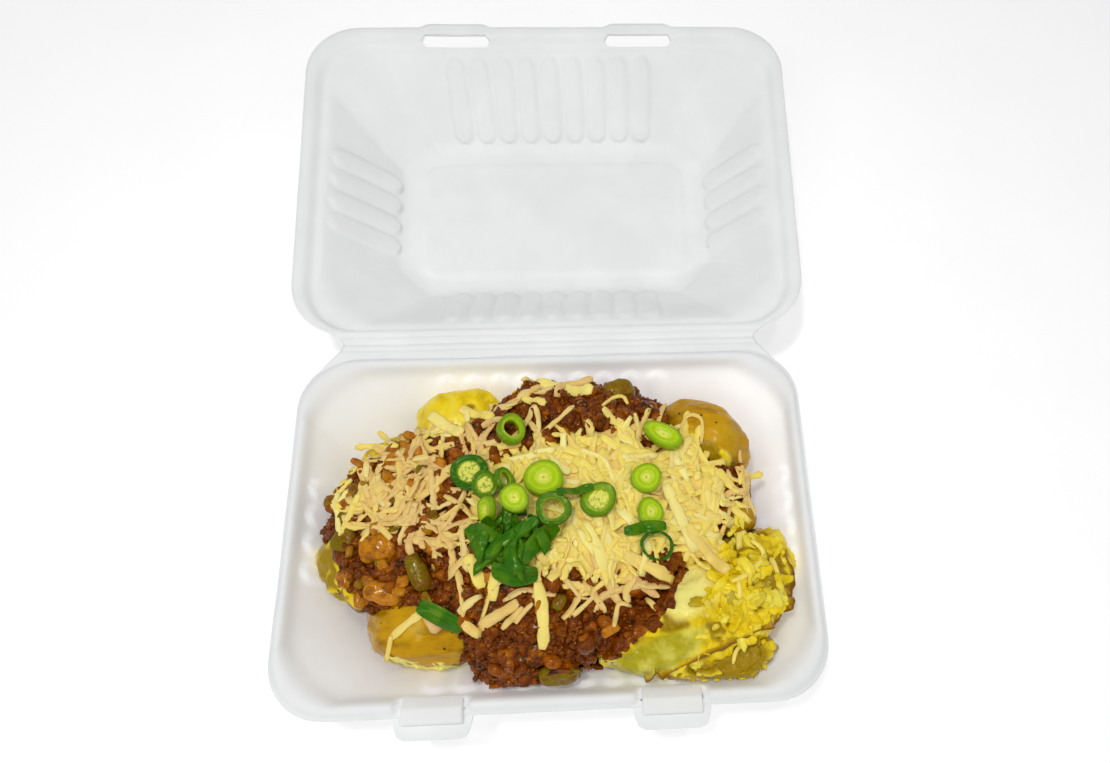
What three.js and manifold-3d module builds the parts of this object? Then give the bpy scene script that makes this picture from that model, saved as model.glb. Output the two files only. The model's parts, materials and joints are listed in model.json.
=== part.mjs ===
// Loaded baked potatoes in a moulded pulp takeaway box with its hinged lid open.
//
// Millimetres, +Z up. The origin is the centre of the tray's flat underside, +X is to the right
// and +Y points from the locking tabs towards the hinge. The lid is shaped shut, over the tray,
// and then turned open about the hinge line. Food is laid in the order it was served: potato,
// chilli, grated cheese, spring onion. Each layer is cut from the one it lies on.

import * as THREE from 'three';
import { mergeVertices } from 'three/addons/utils/BufferGeometryUtils.js';
import Module from 'manifold-3d';

// ---------------------------------------------------------------- driving dimensions

const WALL = 1.2; // thickness of the moulded pulp
const GAP = 0.35; // air between touching pieces of food
const LID_GAP = 0.2; // from the hinge plane to each half of the box

// tray, measured at the outer edge of its rim
const HALF_WIDTH = 113.5;
const HALF_DEPTH = 79.1;
const RIM_Z = 40;
const BEAD_RISE = 3.8;
const CORNER_RADIUS = 24;

// lid
const LID_OPEN = THREE.MathUtils.degToRad(174);
const LID_HEIGHT = 37; // from the rim plane to the inside of its top
const LID_STEP = 4.3; // height of the step that fits over the tray's bead
const LIP = 7.7; // the lid's flange beyond the tray's rim
const PANEL_RISE = 1.4; // the raised rectangle on the lid's inside
const HINGE_Y = HALF_DEPTH + 7.6;

// hinge strip, which grows from the rim of each half and is hollowed at its ends
const STRIP_HALF = 96; // half its length at the crease
const STRIP_ROOT = 107; // half its length at the rim
const STRIP_HOLLOW = { x: 1.5, y: 3.2 };
const TRAY_STRIP_INSET = 0.9;
const LID_STRIP_INSET = -2.2;
const CREASE_GAP = 0.2;

// locking tabs of the tray and the slots of the lid that they snap into
const TAB_X = 47.3;
const TAB_WIDTH = 24;
const SLOT_WIDTH = 35;
const SLOT_DEPTH = 4.4;
const SLOT_POINT = 2; // depth of the slot's pointed ends
const SLOT_INSET = 0.2; // from the tray's edge
const FLAP_WIDTH = 32;
const FLAP_REACH = 8.6;
const THUMB_LIP = { root: 19, shoulder: 17.5, front: 13, reach: 2.2 };

// moulded ribs
const RIB = { width: 9, rise: 0.9, pitch: 12.1, sink: 0.5 };
const RIB_SHARE = 0.94; // of the wall's height
const RIB_CREST = { width: 0.6, length: 0.85 }; // the crest's size as a share of the foot's
const LONG_WALL_RIBS = 9;
const SHORT_WALL_RIBS = 4;

// the heap of food
const HEAP = { x: -2, y: -2, radiusX: 112, radiusY: 84, edgeZ: 40, peak: 21.4 };
const CHEESE_DEPTH = 4;
const ROOM_GAP = 1.35; // from the box's walls to the food, over the ribs
const ROOM_FROM = { tray: 8.4, lid: 5.5, brow: 1.2 }; // insets where the room for food begins

// ---------------------------------------------------------------- colours

const paint = (color, roughness) => new THREE.MeshStandardMaterial({ color, roughness, metalness: 0 });
const PULP = paint('#f1f0ec', 0.85);
const FLESH = paint('#d9bd3a', 0.6);
const SKIN = paint('#b98d2c', 0.5);
const CHILLI = paint('#6e3312', 0.35);
const CHEESE = paint('#efdf9e', 0.55);
const PEPPER = paint('#6b6a1e', 0.4);
const ONION = paint('#9ccb3b', 0.4);
const LEAF = paint('#2f7d14', 0.45);

// ---------------------------------------------------------------- solids

const wasm = await Module();
wasm.setup();

// The geometry with its shared corners merged, so that it is closed.
function welded(geometry) {
  const bare = geometry.clone();
  bare.deleteAttribute('normal');
  bare.deleteAttribute('uv');
  return mergeVertices(bare, 1e-4);
}

function toSolid(geometry) {
  const merged = welded(geometry);
  return new wasm.Manifold(new wasm.Mesh({
    numProp: 3,
    vertProperties: new Float32Array(merged.attributes.position.array),
    triVerts: new Uint32Array(merged.index.array),
  }));
}

function toGeometry(solid) {
  const mesh = solid.getMesh();
  const geometry = new THREE.BufferGeometry();
  geometry.setAttribute('position', new THREE.BufferAttribute(mesh.vertProperties, 3));
  geometry.setIndex(new THREE.BufferAttribute(mesh.triVerts, 1));
  geometry.computeVertexNormals();
  return geometry;
}

const join = (solid, ...others) => others.reduce((sum, other) => sum.add(other), solid);
const cut = (solid, ...others) => others.reduce((rest, other) => rest.subtract(other), solid);

// The largest of the bodies that a cut leaves, without its scraps.
function largest(solid) {
  const bodies = solid.decompose();
  return bodies.reduce((best, body) => (body.volume() > best.volume() ? body : best));
}

function meshGeometry(positions, triangles) {
  const geometry = new THREE.BufferGeometry();
  geometry.setAttribute('position', new THREE.Float32BufferAttribute(positions, 3));
  geometry.setIndex(triangles);
  return geometry;
}

// A solid through closed rings of equally many points, each anticlockwise from above. The first
// ring is closed by a fan that faces down and the last by one that faces up.
function loft(rings) {
  const count = rings[0].length;
  const positions = rings.flat().flatMap((p) => [p.x, p.y, p.z]);
  const triangles = [];
  for (let r = 0; r + 1 < rings.length; r++) {
    for (let i = 0; i < count; i++) {
      const next = (i + 1) % count;
      const [a, b, c, d] = [r * count + i, r * count + next, (r + 1) * count + next, (r + 1) * count + i];
      triangles.push(a, b, c, a, c, d);
    }
  }
  const addCap = (ring, first, facesUp) => {
    const centre = ring.reduce((sum, p) => sum.add(p), new THREE.Vector3()).divideScalar(count);
    const hub = positions.length / 3;
    positions.push(centre.x, centre.y, centre.z);
    for (let i = 0; i < count; i++) {
      const next = first + ((i + 1) % count);
      triangles.push(...(facesUp ? [hub, first + i, next] : [hub, next, first + i]));
    }
  };
  addCap(rings[0], 0, false);
  addCap(rings.at(-1), (rings.length - 1) * count, true);
  return toSolid(meshGeometry(positions, triangles));
}

// Seeded random numbers from 0 to 1.
function dice(seed) {
  let state = seed;
  return () => {
    state = (state * 1664525 + 1013904223) % 4294967296;
    return state / 4294967296;
  };
}

const spread = (random, reach) => (random() * 2 - 1) * reach;
const mix = THREE.MathUtils.lerp;
const ramp = THREE.MathUtils.smoothstep;

// ---------------------------------------------------------------- the box

// A ring of the box at the inset d from the tray's rim. Below zero it follows the lid's flange,
// which is wide in front and narrow at the hinge.
const CORNER_STEPS = 4;
const WIDTH_INSET = 0.93;
const LIP_FRONT = 1.04;
const LIP_BACK = 0.28;

function boxRing([d, z, chamfer = 0]) {
  const halfX = HALF_WIDTH - d * (d < 0 ? 1 : WIDTH_INSET);
  const front = HALF_DEPTH - d * (d < 0 ? LIP_FRONT : 1);
  const back = HALF_DEPTH - d * (d < 0 ? LIP_BACK : 1);
  const radius = CORNER_RADIUS - d * 0.2;
  const corners = [[1, 1], [-1, 1], [-1, -1], [1, -1]];
  return corners.flatMap(([signX, signY], corner) => {
    const centreX = signX * (halfX - radius);
    const centreY = signY > 0 ? back - radius : radius - front;
    const start = corner * Math.PI / 2;
    const from = new THREE.Vector2(Math.cos(start), Math.sin(start));
    const to = new THREE.Vector2(-from.y, from.x);
    return Array.from({ length: CORNER_STEPS + 1 }, (_, k) => {
      const turn = start + (k / CORNER_STEPS) * Math.PI / 2;
      const round = new THREE.Vector2(Math.cos(turn), Math.sin(turn));
      const flat = from.clone().lerp(to, k / CORNER_STEPS);
      const p = round.lerp(flat, chamfer);
      return new THREE.Vector3(centreX + radius * p.x, centreY + radius * p.y, z);
    });
  });
}

// Wall sections, from the outer edge inwards: [inset from the tray's rim, height, corner chamfer].
const BEAD_TOP = RIM_Z + BEAD_RISE;
const trayInside = [
  [0, RIM_Z - LID_GAP],
  [1.2, RIM_Z - LID_GAP],
  [1.9, BEAD_TOP - 1.4],
  [3.2, BEAD_TOP],
  [5.2, BEAD_TOP, 0.15],
  [7.2, RIM_Z + 1.2, 0.4],
  [9.4, RIM_Z - 3, 0.6],
  [32, 6.6, 0.85],
  [34.5, 3.2, 0.85],
  [38.5, WALL, 0.85],
  [44, WALL, 0.85],
];

const LID_TOP = RIM_Z + LID_HEIGHT;
const SHELF_Z = RIM_Z + LID_STEP;
const lidInside = [
  [-LIP, RIM_Z + LID_GAP],
  [-3.2, RIM_Z + LID_GAP],
  [-0.5, SHELF_Z],
  [3.6, SHELF_Z, 0.3],
  [6.2, SHELF_Z + 2.3, 0.6],
  [30.5, LID_TOP - 6, 0.85],
  [33.5, LID_TOP - 2.3, 0.85],
  [38, LID_TOP, 0.85],
  [44.2, LID_TOP, 0.3],
  [45.6, LID_TOP - PANEL_RISE, 0.3],
  [50, LID_TOP - PANEL_RISE, 0.3],
];

// The section moved along its own upward normals.
function offset(section, distance) {
  const normals = section.slice(1).map(([d, z], i) => {
    const run = new THREE.Vector2(d - section[i][0], z - section[i][1]).normalize();
    return new THREE.Vector2(-run.y, run.x);
  });
  return section.map(([d, z, chamfer], i) => {
    const before = normals[Math.max(i - 1, 0)];
    const after = normals[Math.min(i, normals.length - 1)];
    const mitre = before.clone().add(after).normalize();
    const reach = distance / mitre.dot(before);
    return [d + mitre.x * reach, z + mitre.y * reach, chamfer];
  });
}

const shell = (lower, upper) => loft([...lower.slice().reverse(), ...upper].map(boxRing));

// A rib on a wall: a low bar with sloping sides and ends, sunk a little into the pulp.
function rib(middle, across, down, length) {
  const normal = new THREE.Vector3().crossVectors(across, down);
  const bar = new THREE.BoxGeometry(RIB.width, length, RIB.rise + RIB.sink);
  const place = bar.attributes.position;
  for (let i = 0; i < place.count; i++) {
    const crest = place.getZ(i) > 0;
    place.setX(i, place.getX(i) * (crest ? RIB_CREST.width : 1));
    place.setY(i, place.getY(i) * (crest ? RIB_CREST.length : 1));
  }
  bar.translate(0, 0, (RIB.rise - RIB.sink) / 2);
  bar.applyMatrix4(new THREE.Matrix4().makeBasis(across, down, normal).setPosition(middle));
  return toSolid(bar);
}

// Ribs on all four walls of a section, between its points numbered high and low. The ribs stand
// on the side that the box holds its food.
function ribs(section, high, low, facing) {
  const [dHigh, zHigh] = section[high];
  const [dLow, zLow] = section[low];
  const d = mix(dHigh, dLow, 0.5);
  const z = mix(zHigh, zLow, 0.5);
  const bars = [];
  const longWall = { half: HALF_DEPTH - d, inset: 1, count: LONG_WALL_RIBS };
  const shortWall = { half: HALF_WIDTH - WIDTH_INSET * d, inset: WIDTH_INSET, count: SHORT_WALL_RIBS };
  const walls = [
    { out: new THREE.Vector3(0, -1, 0), ...longWall },
    { out: new THREE.Vector3(0, 1, 0), ...longWall },
    { out: new THREE.Vector3(-1, 0, 0), ...shortWall },
    { out: new THREE.Vector3(1, 0, 0), ...shortWall },
  ];
  for (const { out, half, inset, count } of walls) {
    const slope = out.clone().multiplyScalar(-(dLow - dHigh) * inset);
    slope.z = zLow - zHigh;
    const down = slope.clone().normalize();
    const across = new THREE.Vector3(0, 0, facing).cross(out);
    for (let k = 0; k < count; k++) {
      const along = (k - (count - 1) / 2) * RIB.pitch;
      const middle = out.clone().multiplyScalar(half).addScaledVector(across, along);
      middle.z = z;
      bars.push(rib(middle, across, down, slope.length() * RIB_SHARE));
    }
  }
  return bars;
}

// A plate with the given outline, from z upwards.
function plate(outline, z, thickness) {
  const shape = new THREE.Shape(outline.map(([x, y]) => new THREE.Vector2(x, y)));
  const slab = new THREE.ExtrudeGeometry(shape, { depth: thickness, bevelEnabled: false });
  slab.translate(0, 0, z);
  return toSolid(slab);
}

// Half of the hinge strip, from the crease to the rim at the inset d. Its ends are hollowed.
function hingeStrip(d, z) {
  const crease = HINGE_Y - CREASE_GAP;
  const rim = boxRing([d, z]).filter((p) => p.y > 0 && Math.abs(p.x) < STRIP_ROOT);
  const inner = rim.map((p) => [p.x, p.y]);
  const corner = (side) => [side * STRIP_HALF, crease];
  const hollow = (side) => [side * (STRIP_HALF + STRIP_HOLLOW.x), crease - STRIP_HOLLOW.y];
  return plate([...inner, hollow(-1), corner(-1), corner(1), hollow(1)], z, WALL);
}

// A block across x with the section [y, z], anticlockwise seen from +X.
function block(section, middleX, width) {
  const shape = new THREE.Shape(section.map(([y, z]) => new THREE.Vector2(y, z)));
  const slab = new THREE.ExtrudeGeometry(shape, { depth: width, bevelEnabled: false });
  slab.applyMatrix4(new THREE.Matrix4().makeBasis(
    new THREE.Vector3(0, 1, 0), new THREE.Vector3(0, 0, 1), new THREE.Vector3(1, 0, 0)));
  slab.translate(middleX - width / 2, 0, 0);
  return toSolid(slab);
}

// The sections of a locking tab, as [y from the tray's edge, z from the rim plane], anticlockwise
// seen from +X: what breaks the bead, the sunk floor behind it, and the block that stands out.
const TAB_BREAK = [[-1, 0.6], [9, 0.6], [9, BEAD_RISE + 1], [-1, BEAD_RISE + 1]];
const TAB_FLOOR = [[1, -1], [8.6, -3.2], [8.2, -0.6], [6.6, 0.9], [1, 0.9]];
const TAB_BLOCK = [[-2.9, -2.4], [5.4, -0.4], [7.2, 0.7], [3, 3.1], [-2.1, 3.3], [-2.9, 2.2]];
const TAB_BREAK_WIDTH = TAB_WIDTH + 4;
// Half of the thin flap below the block: [x from its side edge inwards, y from the tray's edge].
const FLAP_SIDE = [[0, 0.8], [1.2, 3.4 - FLAP_REACH], [4, -FLAP_REACH]];

function addTab(tray, middleX) {
  const across = (section, width) => block(
    section.map(([y, z]) => [y - HALF_DEPTH, z + RIM_Z]), middleX, width);
  const halfFlap = (side) => FLAP_SIDE.map(
    ([x, y]) => [middleX + side * (FLAP_WIDTH / 2 - x), y - HALF_DEPTH]);
  const flap = plate([...halfFlap(-1), ...halfFlap(1).reverse()], RIM_Z - LID_GAP - WALL, WALL);
  return join(
    cut(tray, across(TAB_BREAK, TAB_BREAK_WIDTH)),
    across(TAB_FLOOR, TAB_BREAK_WIDTH),
    across(TAB_BLOCK, TAB_WIDTH),
    flap,
  );
}

function makeTray() {
  const body = shell(offset(trayInside, -WALL), trayInside);
  const strip = hingeStrip(TRAY_STRIP_INSET, RIM_Z - LID_GAP - WALL);
  const tabbed = [-TAB_X, TAB_X].reduce(addTab, join(body, strip));
  return join(tabbed, ...ribs(trayInside, 6, 7, 1));
}

// A slot through the lid's step, with pointed ends.
function slot(middleX) {
  const near = SLOT_INSET - HALF_DEPTH;
  const far = near - SLOT_DEPTH;
  const tip = SLOT_WIDTH / 2;
  const side = tip - SLOT_POINT;
  const outline = [
    [middleX - tip, (near + far) / 2], [middleX - side, far], [middleX + side, far],
    [middleX + tip, (near + far) / 2], [middleX + side, near], [middleX - side, near],
  ];
  return plate(outline, RIM_Z - LID_STEP, 3 * LID_STEP);
}

// A shallow thumb lip on the lid's front edge, beside each slot.
function thumbLip(middleX) {
  const edge = -HALF_DEPTH - LIP * LIP_FRONT;
  const { root, shoulder, front, reach } = THUMB_LIP;
  const half = (side) => [
    [middleX + side * root, edge + reach / 2],
    [middleX + side * shoulder, edge - reach / 2],
    [middleX + side * front, edge - reach],
  ];
  return plate([...half(-1), ...half(1).reverse()], RIM_Z + LID_GAP, WALL);
}

// The lid, shut over the tray.
function makeLid() {
  const body = shell(lidInside, offset(lidInside, WALL));
  const strip = hingeStrip(LID_STRIP_INSET, RIM_Z + LID_GAP);
  const lipped = join(body, strip, thumbLip(-TAB_X), thumbLip(TAB_X));
  const slotted = cut(lipped, slot(-TAB_X), slot(TAB_X));
  return join(slotted, ...ribs(lidInside, 4, 5, -1));
}

// The space for food: inside the tray, and under the lid when it is shut.
function makeRoom() {
  const low = offset(trayInside, ROOM_GAP).filter(([d]) => d > ROOM_FROM.tray);
  const high = offset(lidInside, -ROOM_GAP).filter(([d, z]) => d > ROOM_FROM.lid && z > SHELF_Z);
  const edge = low[0][0] - ROOM_FROM.brow;
  return shell(low, high.map(([d, z, chamfer]) => [Math.max(d, edge), z, chamfer]));
}

// ---------------------------------------------------------------- food

// The smooth upper surface of the heap, and the small unevenness of what lies in it.
function heapTop(x, y) {
  const u = (x - HEAP.x) / HEAP.radiusX;
  const v = (y - HEAP.y) / HEAP.radiusY;
  return HEAP.edgeZ + HEAP.peak * (1 - u * u - v * v);
}

const lumps = (x, y) => 0.5 * (Math.sin(x * 0.31 + y * 0.17) + Math.sin(y * 0.37 - x * 0.13 + 2));

const asVectors = (points) => points.map(([x, y]) => new THREE.Vector3(x, y, 0));

// A closed outline through hand-set points, anticlockwise, seen from its own middle.
function makeOutline(points, middle, spokes) {
  const curve = new THREE.CatmullRomCurve3(asVectors(points), true, 'centripetal');
  const ring = curve.getSpacedPoints(spokes).slice(0, spokes);
  const reachAt = ring.map((p) => ({
    angle: Math.atan2(p.y - middle[1], p.x - middle[0]),
    reach: Math.hypot(p.x - middle[0], p.y - middle[1]),
  })).sort((a, b) => a.angle - b.angle);
  // 0 at the middle, 1 on the outline
  const fraction = (x, y) => {
    const angle = Math.atan2(y - middle[1], x - middle[0]);
    const after = reachAt.findIndex((s) => s.angle > angle);
    const b = reachAt[after < 0 ? 0 : after];
    const a = reachAt.at(after < 0 ? -1 : after - 1);
    const turn = (to, from) => THREE.MathUtils.euclideanModulo(to - from, Math.PI * 2);
    const t = turn(angle, a.angle) / Math.max(turn(b.angle, a.angle), 1e-6);
    return Math.hypot(x - middle[0], y - middle[1]) / mix(a.reach, b.reach, t);
  };
  return { ring, middle, fraction };
}

// A mound on an outline: rings at the given fractions of it, with the height that top(x, y,
// fraction) gives, down to the base height that base(x, y) gives.
function mound({ ring, middle }, fractions, top, base) {
  const at = (fraction, height) => ring.map((p) => {
    const x = mix(middle[0], p.x, fraction);
    const y = mix(middle[1], p.y, fraction);
    return new THREE.Vector3(x, y, height(x, y, fraction));
  });
  return loft([...fractions.slice().reverse().map((f) => at(f, base)), ...fractions.map((f) => at(f, top))]);
}

// A potato-like lump: a ball with blunt sides and a rolling surface, grown by a margin.
function lump({ at, size, turn = 0, tip = 0, blunt = 1, rolling = 0.05, detail = 2, phase = 0 }, grow = 0) {
  const ball = new THREE.IcosahedronGeometry(1, detail);
  const place = ball.attributes.position;
  const p = new THREE.Vector3();
  for (let i = 0; i < place.count; i++) {
    p.fromBufferAttribute(place, i);
    const wave = Math.sin(3.1 * p.x + 2.3 * p.y + phase) + Math.sin(2.7 * p.y - 3.7 * p.z + 2 * phase)
      + 0.6 * Math.sin(6.3 * p.x - 5.1 * p.z + 3 * phase);
    const swell = 1 + rolling * wave;
    const bluntly = (v) => Math.sign(v) * Math.abs(v) ** blunt;
    place.setXYZ(i,
      bluntly(p.x) * (size[0] * swell + grow),
      bluntly(p.y) * (size[1] * swell + grow),
      bluntly(p.z) * (size[2] * swell + grow));
  }
  ball.rotateY(tip).rotateZ(turn).translate(...at);
  return toSolid(ball);
}

// What a lump cuts from its neighbours: itself with a gap all round.
const margin = (spec) => lump(spec, GAP);

// Potatoes, broken open. Their sizes are half lengths.
const POTATOES = {
  potato_front_left: { material: SKIN, at: [-51, -37, 30], size: [29, 24, 20.5], turn: -0.05, blunt: 0.92 },
  potato_left_edge: {
    material: FLESH, at: [-81, -13, 30], size: [21, 17, 15], turn: 0.5, blunt: 0.9, phase: 2,
  },
  potato_left_sliver: {
    material: SKIN, at: [-82, -31, 37], size: [8, 3.6, 6], turn: -0.85, blunt: 0.8, detail: 1, phase: 2,
  },
  potato_back_left: { material: FLESH, at: [-41, 46, 34], size: [19, 15, 18], turn: 0.1, blunt: 0.8, phase: 4 },
  potato_back_corner: {
    material: FLESH, at: [-70, 29, 30], size: [17, 11, 15], turn: 0.75, blunt: 0.85, phase: 6,
  },
  potato_back_right: {
    material: SKIN, at: [67, 35, 33], size: [24, 18, 21], turn: -0.45, blunt: 0.95, phase: 1,
  },
  potato_front_right: {
    material: FLESH, at: [61.5, -39.5, 34], size: [46, 21.5, 22], turn: 0.48, blunt: 0.86, detail: 3, phase: 3,
  },
  potato_front_flap: {
    material: SKIN, at: [69, -62, 34], size: [21, 13, 12], turn: 0.16, blunt: 0.85, phase: 5, rolling: 0.08,
  },
  potato_right_chunk: { material: SKIN, at: [79, -3, 40], size: [9, 8, 8.5], turn: 0.3, blunt: 0.8, phase: 6 },
};

// Pieces of sweet pepper and onion that stand out of the chilli. They are small, so have few sides.
const PEPPER_DETAIL = 1;
const PEPPERS = {
  pepper_back: { at: [30, 55, 46], size: [8.5, 6, 6.5], turn: 0.4, blunt: 0.7, phase: 1 },
  pepper_left_end: { at: [-84, -9, 48.5], size: [6, 5, 3.6], turn: 0.9, tip: -0.2, blunt: 0.6, phase: 4 },
  pepper_left: { at: [-69, -13, 52.5], size: [8.5, 6, 3.8], turn: 0.2, tip: -0.1, blunt: 0.6, phase: 2 },
  pepper_green: { at: [-52, -24, 54.5], size: [9, 4, 3.4], turn: -1.1, tip: 0.1, blunt: 0.6, phase: 3 },
  pepper_left_low: { at: [-66, -31, 50], size: [8, 5, 3.4], turn: -0.3, tip: 0.1, blunt: 0.65, phase: 5 },
  pepper_front: { at: [3, -65, 45], size: [8.5, 5, 5], turn: 0.2, blunt: 0.65, phase: 3 },
};

// Whether a place is on or near a potato or pepper that stands as high as the heap.
const nearPiece = (x, y, reach) => Object.values({ ...POTATOES, ...PEPPERS }).some(({ at, size }) => (
  Math.hypot((x - at[0]) / (size[0] + reach), (y - at[1]) / (size[1] + reach)) < 0.8
  && at[2] + size[2] > heapTop(x, y) - CHEESE_DEPTH));

const CHILLI_MIDDLE = [-5, -2];
const chilliOutline = makeOutline([
  [86, 10], [84, 22], [70, 30], [56, 46], [44, 56], [20, 61], [-8, 61], [-24, 50], [-40, 40], [-66, 34],
  [-88, 20], [-97, 4], [-98, -12], [-93, -24], [-80, -35], [-62, -42], [-44, -44], [-35, -52], [-32, -63],
  [-22, -70], [-6, -70], [6, -68], [16, -60], [30, -50], [42, -38], [56, -26], [70, -14], [84, -8],
], CHILLI_MIDDLE, 34);

const CHEESE_MIDDLE = [-5, 8];
const cheeseOutline = makeOutline([
  [87, 19], [80, 28], [60, 36], [42, 48], [24, 52], [10, 62], [-10, 61], [-24, 53], [-38, 43], [-52, 38],
  [-70, 34], [-86, 24], [-92, 13], [-84, -2], [-68, -9], [-46, -24], [-37, -38], [-24, -42], [-12, -38],
  [5, -34], [22, -38], [38, -33], [55, -27], [72, -12], [84, 4],
], CHEESE_MIDDLE, 28);

// A bare patch at the back, where the chilli stands out through the cheese.
const PATCH = { x: 17, y: 44, radiusX: 32, radiusY: 12, rise: 2.6 };

function patchShare(x, y) {
  const away = Math.hypot((x - PATCH.x) / PATCH.radiusX, (y - PATCH.y) / PATCH.radiusY);
  return 1 - ramp(away, 0.7, 1.1);
}

// The chilli's surface: the heap's own where it shows, and lower under the cheese.
const CHILLI_EDGE_DROP = 7;

function chilliTop(x, y, fraction) {
  const patch = patchShare(x, y);
  const covered = (1 - ramp(cheeseOutline.fraction(x, y), 0.84, 1.0)) * (1 - patch);
  const rounding = CHILLI_EDGE_DROP * ramp(fraction, 0.88, 1.0);
  return heapTop(x, y) + lumps(x, y) + PATCH.rise * patch - CHEESE_DEPTH * covered - rounding;
}

const CHILLI_RINGS = [1, 0.96, 0.87, 0.7, 0.48, 0.22];
const CHEESE_RINGS = [1, 0.93, 0.76, 0.52, 0.25];

const makeChilliCore = (lift) => mound(
  chilliOutline, CHILLI_RINGS, (x, y, f) => chilliTop(x, y, f) + lift, () => 0);

const cheeseTop = (x, y, fraction) => heapTop(x, y) + 1.2 + 0.6 * Math.sin(x * 0.5) * Math.cos(y * 0.45)
  - 0.5 * ramp(fraction, 0.93, 1);

const CHILLI_PIECES = 26;
const CHILLI_REACH = { x: 96, y: 70 };
const BEAN_SHARE = 0.2;
const BEAN_SIZE = [5.4, 3.4, 3.2];

// A crumb of mince: a stretched eight-sided grain at a slant, larger than the ball it stands for.
const GRAIN_SWELL = 1.25;

function crumb({ at, size, turn, tip }, grow) {
  const grain = new THREE.OctahedronGeometry(1, 0);
  grain.scale(...size.map((half) => half * GRAIN_SWELL + grow)).rotateX(tip).rotateZ(turn).translate(...at);
  return toSolid(grain);
}

// Mince and beans that stand out of the chilli where no cheese covers it, grown by a margin.
function chilliPieces(grow) {
  const random = dice(7);
  const pieces = [];
  while (pieces.length < CHILLI_PIECES) {
    const x = spread(random, CHILLI_REACH.x);
    const y = HEAP.y + spread(random, CHILLI_REACH.y);
    const isBean = random() < BEAN_SHARE;
    const size = isBean ? BEAN_SIZE : [mix(2.6, 4.4, random()), mix(2.4, 3.6, random()), 2.9];
    const turn = random() * Math.PI;
    const tip = spread(random, 0.6);
    const inside = chilliOutline.fraction(x, y);
    const bare = cheeseOutline.fraction(x, y) > 1.09 || patchShare(x, y) > 0.9;
    if (inside > 0.9 || !bare || nearPiece(x, y, 6)) continue;
    const at = [x, y, chilliTop(x, y, inside) + 0.2];
    pieces.push(isBean ? lump({ at, size, turn, detail: 0, rolling: 0.03, phase: x }, grow)
      : crumb({ at, size, turn, tip }, grow));
  }
  return pieces;
}

// A shred of cheese: a strip of square section, bent where it has two segments.
function shred({ at, length, width, thick, yaw, pitch, bend, segments }) {
  const bar = new THREE.BoxGeometry(length, width, thick, segments, 1, 1);
  const place = bar.attributes.position;
  for (let i = 0; i < place.count; i++) {
    const along = place.getX(i) / (length / 2);
    place.setZ(i, place.getZ(i) - bend * along * along);
    place.setY(i, place.getY(i) * (1 - 0.35 * Math.abs(along)));
  }
  bar.rotateY(pitch).rotateZ(yaw).translate(...at);
  return toSolid(bar);
}

const CHEESE_SHREDS = 34;
const SHRED = { length: [11, 19], width: [2.2, 3.6], bend: [0.3, 1.2], thick: 1.5 };

function cheeseShreds() {
  const random = dice(11);
  const shreds = [];
  while (shreds.length < CHEESE_SHREDS) {
    const angle = random() * Math.PI * 2;
    const f = Math.sqrt(random()) * 0.9;
    const spoke = cheeseOutline.ring[Math.floor((angle / (Math.PI * 2)) * cheeseOutline.ring.length)];
    const x = mix(CHEESE_MIDDLE[0], spoke.x, f);
    const y = mix(CHEESE_MIDDLE[1], spoke.y, f);
    if (patchShare(x, y) > 0) continue;
    shreds.push(shred({
      at: [x, y, cheeseTop(x, y, f) + GAP],
      length: mix(...SHRED.length, random()),
      width: mix(...SHRED.width, random()),
      thick: SHRED.thick,
      yaw: random() * Math.PI,
      pitch: spread(random, 0.16),
      bend: mix(...SHRED.bend, random()),
      segments: random() < 0.3 ? 2 : 1,
    }));
  }
  return shreds;
}

// ---------------------------------------------------------------- spring onion

const probe = new THREE.Raycaster();
const DOWN = new THREE.Vector3(0, 0, -1);

// The height of the highest surface under a small disc round a point.
const PROBES = [[0, 0], ...Array.from({ length: 12 }, (_, k) => {
  const turn = (k / 12) * Math.PI * 2;
  return [Math.cos(turn), Math.sin(turn)].map((v) => v * (k % 2 ? 0.55 : 1));
})];

function surfaceUnder(meshes, x, y, reach) {
  let z = -Infinity;
  for (const [dx, dy] of PROBES) {
    probe.set(new THREE.Vector3(x + reach * dx, y + reach * dy, LID_TOP), DOWN);
    const hit = probe.intersectObjects(meshes, false)[0];
    if (hit) z = Math.max(z, hit.point.z);
  }
  return z;
}

// A slice of stalk: a ring with a hole, laid flat on what is under it and tilted with it.
const RING_SIDES = 8;
const RING_FOOT = 1.4; // how far round each corner of a slice the surface below is felt

function onionSlice({ x, y, outer, hole, height, squeeze = 1, turn = 0, lean = 0, foot = RING_FOOT }, under) {
  const profile = [[hole, 0], [outer, 0], [outer, height], [hole, height], [hole, 0]];
  const slice = welded(new THREE.LatheGeometry(profile.map(([r, z]) => new THREE.Vector2(r, z)), RING_SIDES));
  slice.rotateX(Math.PI / 2).scale(squeeze, 1, 1).rotateZ(turn);
  const slopeX = (surfaceUnder(under, x + outer, y, 1) - surfaceUnder(under, x - outer, y, 1)) / (2 * outer);
  const slopeY = (surfaceUnder(under, x, y + outer, 1) - surfaceUnder(under, x, y - outer, 1)) / (2 * outer);
  const up = new THREE.Vector3(-slopeX + lean, -slopeY, 1).normalize();
  slice.applyQuaternion(new THREE.Quaternion().setFromUnitVectors(new THREE.Vector3(0, 0, 1), up));
  const place = slice.attributes.position;
  let lift = -Infinity;
  for (let i = 0; i < place.count; i++) {
    const rest = surfaceUnder(under, x + place.getX(i), y + place.getY(i), foot);
    lift = Math.max(lift, rest - place.getZ(i));
  }
  slice.translate(x, y, lift + GAP);
  return toSolid(slice);
}

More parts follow.
